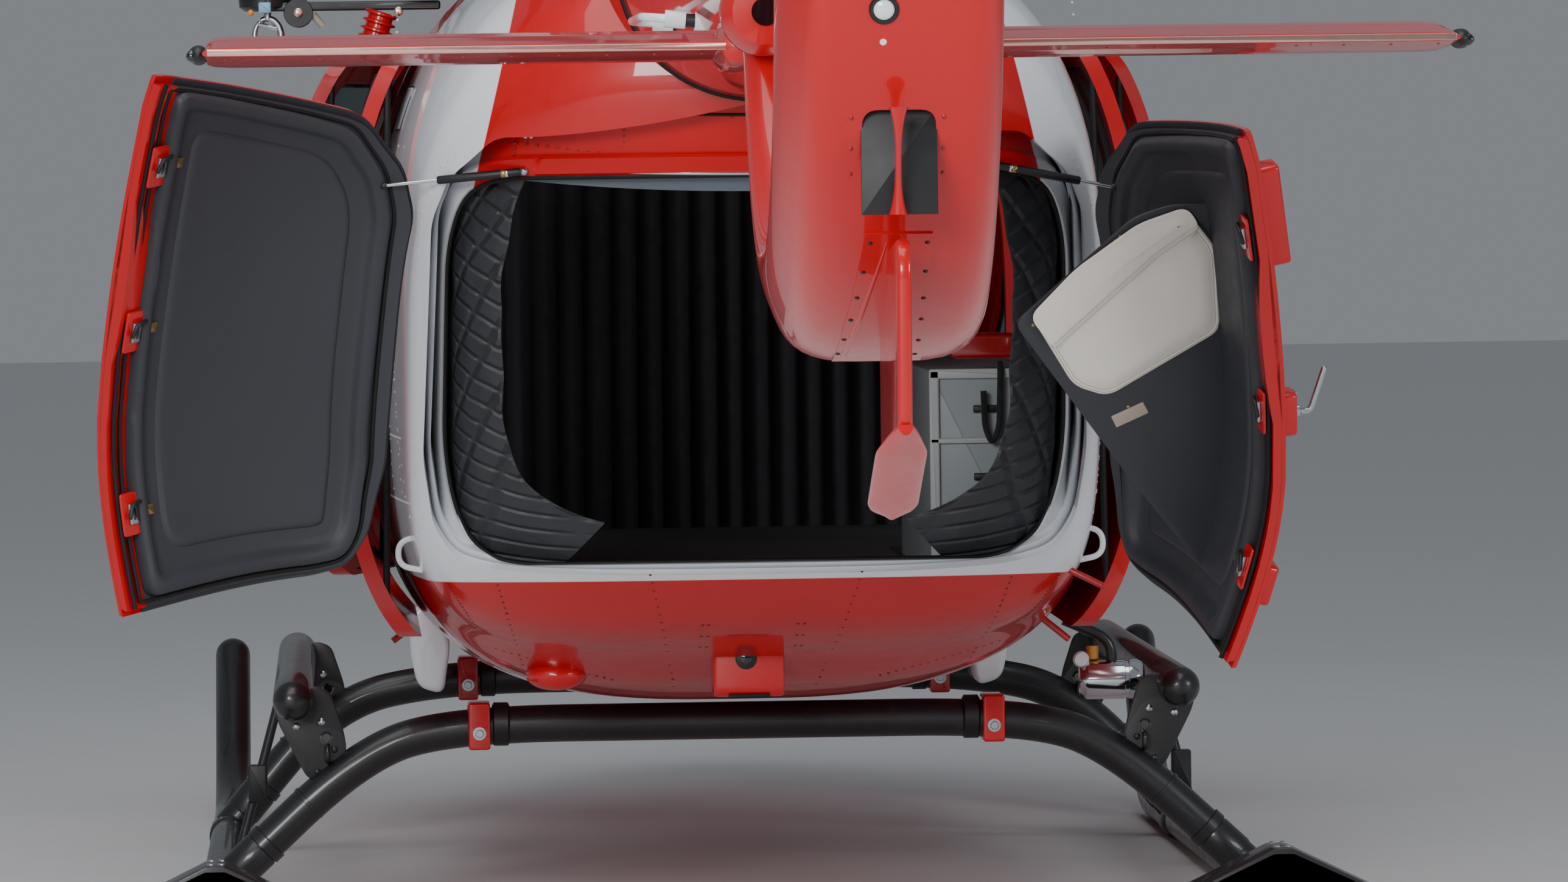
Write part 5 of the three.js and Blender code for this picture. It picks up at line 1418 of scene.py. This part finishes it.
beam = {"at": (-880, 4420, 500), "shell": [(hair, -75), (30, -75), (40, -70), (45.5, -58), (46, -40), (43.5, -38),
                                           (43.5, -30), (46, -28), (46, 56), (44, 62), (36, 66), (30, 75), (hair, 75)],
        "lamp": [(hair, -10), (15, -9), (19, 0), (15, 9), (hair, 10)], "lampAt": (-808, 4440, 548),
        "capAt": (-836, 4420, 548), "arm": [(-880, 4420, 520), (-880, 4420, 592), (-770, 4420, 640)]}


# Turned barrel lying across, with a lamp, an amber cap and a bent arm
def searchlight():
    parts = [turned(beam["shell"], beam["at"], toPort, "polishedRod", 56),
             turned(beam["lamp"], beam["lampAt"], toAft, "lensWhite", 36),
             plug(14, 0, 30, beam["capAt"], toTop, "amberPlastic", 20),
             tube(roundPath(beam["arm"], 40, 8), 13, powder, 20)]
    makePiece("searchlight_detail", parts, ("searchlight",))


# Outlines as (station, height) or (across, height); rivet lines and drain tubes run from one place to another
belly = {"box": [[5180, 690], [5330, 700], [5361, 676], [5361, 540], [5348, 526], [5200, 526]], "boxHalf": 79,
         "lensAt": (6, 5360, 612), "lens": [(hair, 0), (21, 0), (21, 3), (18, 4), (16, 2.5), (10, 4.5), (hair, 5.5)],
         "bezel": [(21, -3), (24, -3), (24, 2), (21, 4)], "screws": (700, 672, 644, 616), "blisterAt": (424, 576),
         "blister": [(hair, -90), (30, -80), (52, -40), (60, 0), (52, 34), (30, 52), (hair, 58)],
         "rivets": [((300, 560), (560, 640)), ((-300, 560), (-560, 640)), ((600, 690), (668, 800)),
                    ((-600, 690), (-668, 800)), ((500, 600), (560, 800)), ((-500, 600), (-560, 800)),
                    ((160, 540), (230, 820)), ((-160, 540), (-230, 820))],
         "drains": (((-690, 812), (-764, 775)), ((-655, 690), (-716, 640)), ((748, 668), (786, 640))),
         "grabAt": (712, 5560), "pod": [[655, 412], [718, 430], [738, 520], [735, 620], [680, 650], [636, 540]],
         "podFrom": 3060, "podLong": 300}


# Plates, turned shapes and bent tubes, each set on the hull's skin where the rear view shows it
def bellyFittings():
    at = np.array(belly["lensAt"])
    parts = [slab(rounded(belly["box"], 12), (-belly["boxHalf"], 0, 0), toAft, toTop,
                  2 * belly["boxHalf"], red, 9),
             turned(belly["lens"], at, toAft, blackGlassAndShade, 40),
             turned(belly["bezel"], at, toAft, plastic, 40),
             block((0, 5350, 529), (92, 8, 20), rubber, 2)]
    spots = np.array([(sign * x, z) for sign in (1, -1) for x in (98, 112) for z in belly["screws"]], float)
    parts.append(heads(*onFrame(*spots.T), 4, "darkRedPaint", 0.35, 12))
    # blister with its mouth, port side; the mouth is a black disc of painted shade
    here = onFrame(*belly["blisterAt"])[0]
    blister = turned(belly["blister"], here, toAft, red, 40)
    parts.append(moved(blister, lambda p: here + (p - here) * [1.15, 1, 0.62]))
    parts.append(plug(9, 0, 2, here + [-16, 50, 20], toAft, blackGlassAndShade, 20))
    spots = np.concatenate([np.linspace(a, b, 16) for a, b in belly["rivets"]])
    parts.append(heads(*onFrame(*spots.T), 3, "darkRedPaint", 0.3, 8))
    for root, tip in belly["drains"]:
        here = onFrame(*root, 6)[0]
        end = np.array([tip[0], here[1] + 10, tip[1]])
        parts.append(tube(roundPath([here + [0, -30, 0], here, end], 8, 5), 7.5, "redHardware", 18))
        # Black plug in each pipe's end: painted shade of its bore
        parts.append(tube([end - unit(end - here) * 0.5, end + unit(end - here) * 0.8], 5.5, blackGlassAndShade, 14))
    # grab loops on the white quarters, and the lower side panels that show under the body
    for sign in (1, -1):
        x, station = sign * belly["grabAt"][0], belly["grabAt"][1]
        loop = [(x, station, 905), (x + sign * 62, station, 892), (x + sign * 62, station, 838), (x, station, 826)]
        parts.append(tube(roundPath(loop, 26, 8), 6.5, white, 18))
        pod = rounded(np.array(belly["pod"]) * [sign, 1], 26)
        parts.append(slab(pod, (0, belly["podFrom"], 0), toPort, toTop, belly["podLong"], white,
                          14))
    makePiece("belly_fittings", parts, ("belly_sensor",), sharp=45)


for side in sides:
    skid(side)
    stepBeam(side)
for which in crosstubeKnees:
    crosstube(which)
searchlight()
bellyFittings()
print("landing gear and belly made")


# The winch stands at "drum"; the boom's two bars end at the pulley, over the hook
winch = {"drum": (640, 3210, 2210), "drumSize": (150, 190, 330),
         "barrel": [(3040, 60), (3050, 78), (3370, 78), (3380, 60)],
         "bars": (2100, 2150), "pulleyAt": (985, 3240, 2085), "pivots": (985, 742), "motorAt": (1066, 3210, 2150),
         "pulley": [(hair, -22), (34, -22), (36, -16), (36, 16), (34, 22), (hair, 22)],
         "pivot": [(hair, 22), (11, 22), (11, 27), (8, 29), (hair, 29)],
         "motor": [(hair, -60), (48, -60), (62, -50), (64, -30), (64, 44), (58, 56), (30, 62), (hair, 62)],
         "hookAt": (1060, 3225, 2030), "hook": (32, 42), "ribs": 5}


# Winch, boom and motor of blocks and turned shapes, an oval hook with its gate, and a ribbed fairing
def hoist():
    run, radius = np.array(winch["barrel"], float).T
    x, y, z = winch["hookAt"]
    parts = [block(winch["drum"], winch["drumSize"], powder, 14, corner=30),
             tube([(640, station, 2215) for station in run], radius, powder, 40)]
    parts += [block((850, 3240, rise), (420, 22, 30), powder, 4, corner=8) for rise in winch["bars"]]
    parts.append(turned(winch["pulley"], winch["pulleyAt"], toAft, powder, 40))
    parts += [turned(winch["pivot"], (x, 3240, 2085), toAft, "brightEdge", 24) for x in winch["pivots"]]
    parts += [turned(winch["motor"], winch["motorAt"], toTop, powder, 48),
              tube([(700, 3210, 2240), (1060, 3210, 2250)], 40, powder, 32, dome=True),
              block((1066, 3268, 2098), (30, 26, 26), "blueCap", 4),
              heads([(1100, 3262, 2086)], toAft, 8, "amberPlastic", 0.5, 16)]
    turn = np.linspace(0.35 * np.pi, 2.3 * np.pi, 40)
    bow = np.stack([x + winch["hook"][0] * np.cos(turn), y + 0 * turn, z + winch["hook"][1] * np.sin(turn)], 1)
    parts += [tube(bow, np.interp(np.linspace(0, 1, 40), [0, 0.3, 0.7, 1], [7, 9, 9, 5]), steel, 20),
              tube([(x, y, z + 70), (x, y, z + 40)], 9, steel, 20),
              tube([(x + 26, y, z + 30), (x - 26, y, z + 16)], 6, "polishedRod", 16),
              tube([(950, 3240, 2080), (926, 3240, 2052)], 9, "cabinBeige", 20)]
    ribs = np.linspace(0, 1, 26)
    spine = np.array([(782, 3250, 2084)]) + ribs[:, None] * np.array([(30, 0, -96)])
    parts.append(tube(spine, 36 + 5 * np.sign(np.sin(ribs * 2 * np.pi * winch["ribs"])), red, 32))
    makePiece("rescue_hoist_detail", parts, ("rescue_hoist",))


hoist()
print("hoist made")


cockpitHinge = {"x": 772, "station": 1096, "port": 12, "starboard": 23}
slidBack = {"aft": 1480, "out": 66}


def flankPoints(outline, sign, out=0):
    closed = np.concatenate([outline, outline[:1]])
    return np.stack([sign * (flankWidth(closed[:, 0], closed[:, 1]) + out), closed[:, 0], closed[:, 1]], 1)


# Gaps inside the openings, the glass's depths, and where each door's handle is, as (station, height)
doorSet = {"gap": 6, "paneCorner": 60, "glassGap": 2, "glass": (6, 11),
           "corner": {"cockpit": 60, "sliding": 90},
           "handle": {"cockpit": (2050, 1010), "sliding": (2330, 1010)}}


# Leaf: the hull's shell kept inside the doorway and pierced by its pane; glass, seals and handle go with it
def sideDoor(kind, side):
    sign = sides[side]
    outline, pane = openings[kind + "Door"], openings[kind + "Pane"]
    stations = np.linspace(outline[:, 0].min() - 60, outline[:, 0].max() + 60, 16)
    widths, corner = sorted((sign * windowFrom["side"], sign * sideReach)), doorSet["corner"][kind]
    leaf = sidePrism(shrunk(outline, doorSet["gap"]), widths, corner)
    leaf = cut(hullShell(stations, 0, skinThick), [leaf], None, "INTERSECT")
    glass = sidePrism(shrunk(pane, doorSet["glassGap"]), widths, doorSet["paneCorner"])
    glass = cut(hullShell(stations, *doorSet["glass"]), [glass], "tintedAcrylic", "INTERSECT")
    y, z = doorSet["handle"][kind]
    grip = np.array([sign * (flankWidth(y, z) + 4), y, z])
    parts = [cut(leaf, [sidePrism(pane, wholeWidth, doorSet["paneCorner"])], red),
             tube(flankPoints(rounded(shrunk(pane, 1), 60, 7), sign, -2), 6, rubber, 10),
             tube(flankPoints(rounded(shrunk(outline, 14), corner, 7), sign, -33), 8, rubber, 10),
             block(grip, (150, 44, 10), plastic, 4, toAft, toTop, 18),
             block(grip + [sign * 6, 0, 0], (110, 14, 8), steel, 3, toAft, toTop, 6)]

    def place(p):
        if kind == "sliding":
            return p + np.array([sign * slidBack["out"], slidBack["aft"], 0])
        hinge = np.array([sign * cockpitHinge["x"], cockpitHinge["station"], 0])
        return turnedAbout(p - hinge, -sign * cockpitHinge[side]) + hinge

    body = "airframe" if kind == "sliding" else f"cockpit_door_{side}_leaf"
    makePiece(f"{kind}_door_detail_{side}", [moved(part, place) for part in parts], (f"{kind}_door_{side}",),
              body, bevel=1)
    makePiece(f"{kind}_pane_detail_{side}", [moved(glass, place)], (f"{kind}_glass_{side}",), body)


# Name, node, opening, first half width, corner, stations and depths of each fixed pane
noseRuns = np.concatenate([np.linspace(2, 700, 14), np.linspace(760, 1700, 12)])
panes = (("windscreen_pane_", "windscreen_", "windscreen", 29, 0, noseRuns, (6, 12)),
         ("chin_pane_", "chin_window_", "chin", 172, 40, noseRuns, (6, 11)),
         ("rear_pane_", "rear_window_", "rearPane", 200, 60, np.linspace(3900, 4900, 12), (6, 11)))


# Fixed panes: thin shells under the hull kept inside their openings
def fixedPanes():
    for side, sign in sides.items():
        for name, node, opening, start, corner, stations, depths in panes:
            inside = sidePrism(shrunk(openings[opening], 2), sorted((sign * start, sign * sideReach)), corner)
            pane = cut(hullShell(stations, *depths), [inside], "tintedAcrylic", "INTERSECT")
            makePiece(name + side, [pane], (node + side,))


mainRotor = {"hub": (0, 3550, 3300), "tilt": 5, "droop": 1.2, "parked": 45, "count": 4}
bladeAngles = [mainRotor["parked"] + i * 360 / mainRotor["count"] for i in range(mainRotor["count"])]


# Points of the rotor's own frame, its shaft upright at the origin, set on the tilted shaft
def onShaft(p):
    turn = math.radians(mainRotor["tilt"])
    return np.stack([p[:, 0], p[:, 1] * math.cos(turn) - p[:, 2] * math.sin(turn),
                     p[:, 1] * math.sin(turn) + p[:, 2] * math.cos(turn)], 1) + mainRotor["hub"]


head = {"mast": (60, -670, -60), "bolts": [(-30, 200, 28), (30, 200, 28), (-30, 160, 28), (30, 160, 28)],
        "plate": [(hair, -342), (178, -342), (190, -332), (190, -282), (178, -272), (110, -268), (96, -240),
                  (62, -230), (hair, -230)],
        "hub": [(hair, -76), (140, -76), (150, -66), (150, 24), (140, 40), (118, 62), (108, 92), (96, 100),
                (hair, 100)],
        "link": [(150, 90, -300), (118, 300, -30)], "joint": [(hair, -13), (15, -9), (15, 9), (hair, 13)]}


# Mast, swashplate and hub turned about the shaft; each blade's clamp and link turned to its place
def rotorHead():
    axis, centre = toTop, (0, 0, 0)
    parts = [plug(*head["mast"], centre, axis, darkMetal, 48), turned(head["plate"], centre, axis, steel, 64),
             turned(head["hub"], centre, axis, darkMetal, 64)]
    for angle in bladeAngles:
        arm = [block((0, 180, 0), (110, 126, 56), steel, 8, toPort, toAft, 14),
               heads(head["bolts"], axis, 13, darkMetal, 0.8, 6),
               tube(head["link"], 9, steel, 20), turned(head["joint"], (150, 90, -296), axis, darkMetal, 24)]
        parts += [moved(part, lambda p: turnedAbout(p, angle)) for part in arm]
    makePiece("rotor_head_detail", [moved(part, onShaft) for part in parts], ("rotor_head",), "main_rotor")


# Blade rows: radius, sweep, half chord, half thickness, and its section from round cuff (0) to aerofoil (1)
bladeRows = np.array([(245, 0, 58, 22, 0), (330, 0, 56, 22, 0), (520, 0, 70, 30, 0), (760, 0, 86, 36, 0.2),
                      (1150, 0, 95, 34, 0.5), (1500, 0, 145, 18, 1), (5050, 0, 145, 16, 1), (5250, 8, 135, 14, 1),
                      (5420, 30, 108, 12, 1), (5488, 48, 84, 9, 1), (5494, 50, 70, 5, 1)], float)
bladeRuns = ((245, 1500, 40), (1560, 5050, 30), (5080, 5494, 22))


# Ovals thinned towards their rear edge along the radius, with a metal strip on the leading edge and root bolts
def mainBlades():
    reach = np.concatenate([np.linspace(*run) for run in bladeRuns])
    sweep, half, thick, foil = np.moveaxis(between(bladeRows, reach), -1, 0)[..., None]
    turn = circle(44)[None]
    chord = -np.cos(turn)
    z = thick * np.sin(turn) * (1 - foil * 0.62 * np.clip(chord * 0.5 + 0.5, 0, 1) ** 1.3)
    rings = np.stack([sweep + half * chord, np.broadcast_to(reach[:, None], z.shape), z], -1)
    strip, middle = rings[44:90][:, [40, 42, 0, 2, 4]], rings[44:90].mean(1, keepdims=True)
    parts = [ringsPart(rings, "bladeComposite"), walled(strip + unit(strip - middle) * 0.8, strip, steel),
             heads([(-26, 300, 22), (26, 300, 22)], toTop, 14, steel, 0.6, 6)]
    down = math.radians(-mainRotor["droop"])
    for i, angle in enumerate(bladeAngles):

        def place(p):
            low = np.stack([p[:, 0], p[:, 1] * math.cos(down) - p[:, 2] * math.sin(down),
                            p[:, 1] * math.sin(down) + p[:, 2] * math.cos(down)], 1)
            return onShaft(turnedAbout(low, angle))

        makePiece(f"main_blade_detail_{i + 1}", [moved(part, place) for part in parts], (f"main_blade_{i + 1}",),
                  "main_rotor")


fan = {"blades": 10, "vanes": 11, "root": 150, "tip": 571, "rootHalf": 24, "wider": 22, "twist": (58, 16),
       "thick": (8, 3), "boltRing": 80, "vaneReach": [90, 240, 420, 579], "vane": (105, 30, 6),
       "hub": [(hair, -45), (120, -45), (148, -38), (158, -24), (158, 24), (148, 38), (96, 45), (60, 45), (52, 56),
               (hair, 60)],
       "drum": [(hair, 60), (118, 60), (130, 72), (130, 150), (112, 196), (80, 208), (hair, 212)]}


# Ten twisted blades in the duct, the guide vanes behind them and the gearbox they carry:
# each section's points (out of the duct, along the circle) are carried to its radius and turned round the axis
def tailRotor():
    centre = np.array([0, tail["station"], tail["height"]])

    def spoke(x, y, reach, angle, material):
        ring = np.stack([x, y * np.cos(angle) - reach[:, None] * np.sin(angle),
                         y * np.sin(angle) + reach[:, None] * np.cos(angle)], -1)
        return ringsPart(ring + centre, material)

    turn = circle(fan["blades"])
    bolts = centre + np.stack([0 * turn - 46, fan["boltRing"] * np.cos(turn), fan["boltRing"] * np.sin(turn)], 1)
    parts = [turned(fan["hub"], centre, toStarboard, "bladeComposite", 72),
             heads(bolts, toStarboard, 8, steel, 0.6, 6)]
    share = (np.linspace(fan["root"], fan["tip"], 22) - fan["root"]) / (fan["tip"] - fan["root"])
    half = fan["rootHalf"] + fan["wider"] * np.clip(share / 0.25, 0, 1)
    half = half * np.where(share > 0.94, np.sqrt(np.clip(1 - ((share - 0.94) / 0.075) ** 2, 0.1, 1)), 1)
    twist = np.radians(fan["twist"][0] - fan["twist"][1] * share)[:, None]
    thick = fan["thick"][0] - fan["thick"][1] * share
    run, rise = half[:, None] * -np.cos(circle(24)), thick[:, None] * np.sin(circle(24))
    x, y = run * np.cos(twist) - rise * np.sin(twist), run * np.sin(twist) + rise * np.cos(twist)
    parts += [spoke(x, y, np.linspace(fan["root"], fan["tip"], 22), 2 * np.pi * i / fan["blades"], "bladeComposite")
              for i in range(fan["blades"])]
    makePiece("tail_rotor_detail", parts, ("tail_rotor",), "tail_rotor_disc")
    reach, (out, half, thick) = np.array(fan["vaneReach"]), fan["vane"]
    x, y = out + half * np.cos(circle(20)) + 0 * reach[:, None], thick * np.sin(circle(20)) + 0 * reach[:, None]
    parts = [turned(fan["drum"], centre, toPort, red, 64)]
    parts += [spoke(x, y, reach, 2 * np.pi * (i + 0.5) / fan["vanes"], red) for i in range(fan["vanes"])]
    makePiece("tail_gearbox_detail", parts, ("tail_gearbox",))


# Centres and sizes of the engines' two blocks, and the ends of the port exhaust pipe
engine = {"blocks": (((0, 4475, 2485), (780, 380, 840)), ((0, 3655, 2435), (510, 320, 800))),
          "from": (250, 4500, 2560), "to": (640, 5080, 2640)}


# Exhaust pipes turned with rolled lips, on the engines' block inside the cowl
def exhausts():
    parts = [block(centre, size, darkMetal, 20) for centre, size in engine["blocks"]]
    for sign in (1, -1):
        start, end = (np.array(engine[key]) * [sign, 1, 1] for key in ("from", "to"))
        length = np.linalg.norm(end - start)
        pipe = [(hair, 0), (128, 0), (128, length - 20), (134, length - 8), (134, length - 2), (127, length),
                (121, length - 4), (119, length * 0.5), (hair, length * 0.5)]
        parts.append(turned(pipe, start, end - start, steel, 56))
    makePiece("engines_detail", parts, ("engines",))


fixedPanes()
for side in sides:
    sideDoor("cockpit", side)
    sideDoor("sliding", side)
rotorHead()
mainBlades()
tailRotor()
exhausts()
print("side doors, panes and rotors made")


# Places in order (across, station, height) and sizes of the cabinet's blocks: centre, size, finish, bevel
aft = 5436
cabinet = [((-530, 4870, 990), (252, 510, 1130), "cabinetGrey", 4)]
cabinet += [((x, aft, 990), (22, 512, 18), "cabinLight", 3) for x in (-646, -414)]
cabinet += [((-530, aft, z), (252, tall, 18), "cabinLight", 3) for z, tall in ((1238, 22), (1090, 12), (930, 12))]
cabinet += [((-530, aft + 4, 752), (262, 34, 24), darkMetal, 3)]
cabinet += [((-530, aft + 6, z), (60, 16, 8), plastic, 3) for z in (1160, 1010, 845)]
slotted = [((-604, 5560, 1330), (18, 420, 26), steel, 3)]
# Black strips along the rail: painted shade of its slots
slotted += [((-604, 5574, z), (6, 16, 3), blackGlassAndShade, 1) for z in np.arange(1150, 1520, 30)]
slotted += [((-598, 5578, z), (30, 26, 18), brass, 4) for z in (1455, 1290)]
strapPath = [(-560, 5448, 1262), (-560, 5462, 1240), (-556, 5466, 1120), (-540, 5470, 1080), (-524, 5466, 1120),
             (-522, 5462, 1200)]


# Cabinet of rounded blocks, and a slotted rail beside the opening with clips, cap, housing and a strap
def cabinFittings():
    makePiece("medical_cabinet_detail", [block(*piece) for piece in cabinet], ("medical_cabinet",))
    parts = [block(*piece) for piece in slotted]
    parts += [turned([(hair, 0), (12, 0), (12, 20), (hair, 22)], (-604, 5560, 1540), toTop, "redHardware", 24),
              block((-520, 5460, 1300), (150, 56, 60), "redHardware", 10, corner=20),
              tube(roundPath(strapPath, 20, 8), 7, "blackBinding", 10)]
    makePiece("cabin_rail", parts)


cabinFittings()
print("cabin fittings made")


photo = {"focalPx": 15774, "wide": 2576, "position": (0.88, 20.96, 1.75), "yaw": 2.6,
         "pitch": math.atan(487.5 / 15774), "roll": math.atan(0.0138)}


def addCamera():
    yaw, pitch, roll = math.radians(photo["yaw"]), photo["pitch"], photo["roll"]
    ahead = Vector((-math.sin(yaw) * math.cos(pitch), -math.cos(yaw) * math.cos(pitch), -math.sin(pitch)))
    level = Vector((-math.cos(yaw), math.sin(yaw), 0))
    over = level.cross(ahead)
    right = math.cos(roll) * level - math.sin(roll) * over
    upward = math.cos(roll) * over + math.sin(roll) * level
    camera = bpy.data.cameras.new("photoCamera")
    camera.sensor_width = 36
    camera.lens = photo["focalPx"] / photo["wide"] * 36
    camera.clip_start, camera.clip_end = 0.5, 200
    item = bpy.data.objects.new("photoCamera", camera)
    bpy.context.scene.collection.objects.link(item)
    turn = Matrix((right, upward, -ahead)).transposed().to_4x4()
    item.matrix_world = Matrix.Translation(Vector(photo["position"])) @ turn
    bpy.context.scene.camera = item


def addFloor():
    material, tree, shader, place = finish("paleFloor", "#d9dadb", 0.7, 6, 0.2, drift=0.02)
    size = 60
    mesh = bpy.data.meshes.new("studioFloor")
    mesh.from_pydata([(-size, -size, 0), (size, -size, 0), (size, size, 0), (-size, size, 0)], [], [(0, 1, 2, 3)])
    mesh.materials.append(material)
    floor = bpy.data.objects.new("studioFloor", mesh)
    bpy.context.scene.collection.objects.link(floor)


def addLight(name, position, target, width, height, power, colour="#ffffff"):
    lamp = bpy.data.lights.new(name, "AREA")
    lamp.shape, lamp.size, lamp.size_y, lamp.energy = "RECTANGLE", width, height, power
    lamp.color = linear(colour)[:3]
    item = bpy.data.objects.new(name, lamp)
    item.location = position
    item.rotation_euler = (Vector(target) - Vector(position)).to_track_quat("-Z", "Y").to_euler()
    bpy.context.scene.collection.objects.link(item)


def addWorld():
    world = bpy.data.worlds.new("studioSky")
    world.use_nodes = True
    background = world.node_tree.nodes["Background"]
    background.inputs["Color"].default_value = linear("#dfe5ec")
    background.inputs["Strength"].default_value = 0.3
    bpy.context.scene.world = world


addCamera()
addFloor()
addWorld()
addLight("skySoftbox", (1.5, 4, 9.5), (0, 0.5, 1), 8, 10, 620)
addLight("rearSoftbox", (5.5, 17, 5.5), (0, 1, 1.2), 6, 4, 1500)
addLight("sideSoftbox", (-10, 9, 4), (0, 1, 1), 5, 3, 420)
print("camera, floor and lights set")


# The nodes of the frame that no dressed piece replaces
carried = {"floorGrey": "cabin_floor", "blackPlastic": "instrument_panel", "seatCloth": "pilot_seat_"}
for material, prefix in carried.items():
    for name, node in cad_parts.items():
        if name.startswith(prefix):
            node.data.materials.clear()
            node.data.materials.append(materials[material])
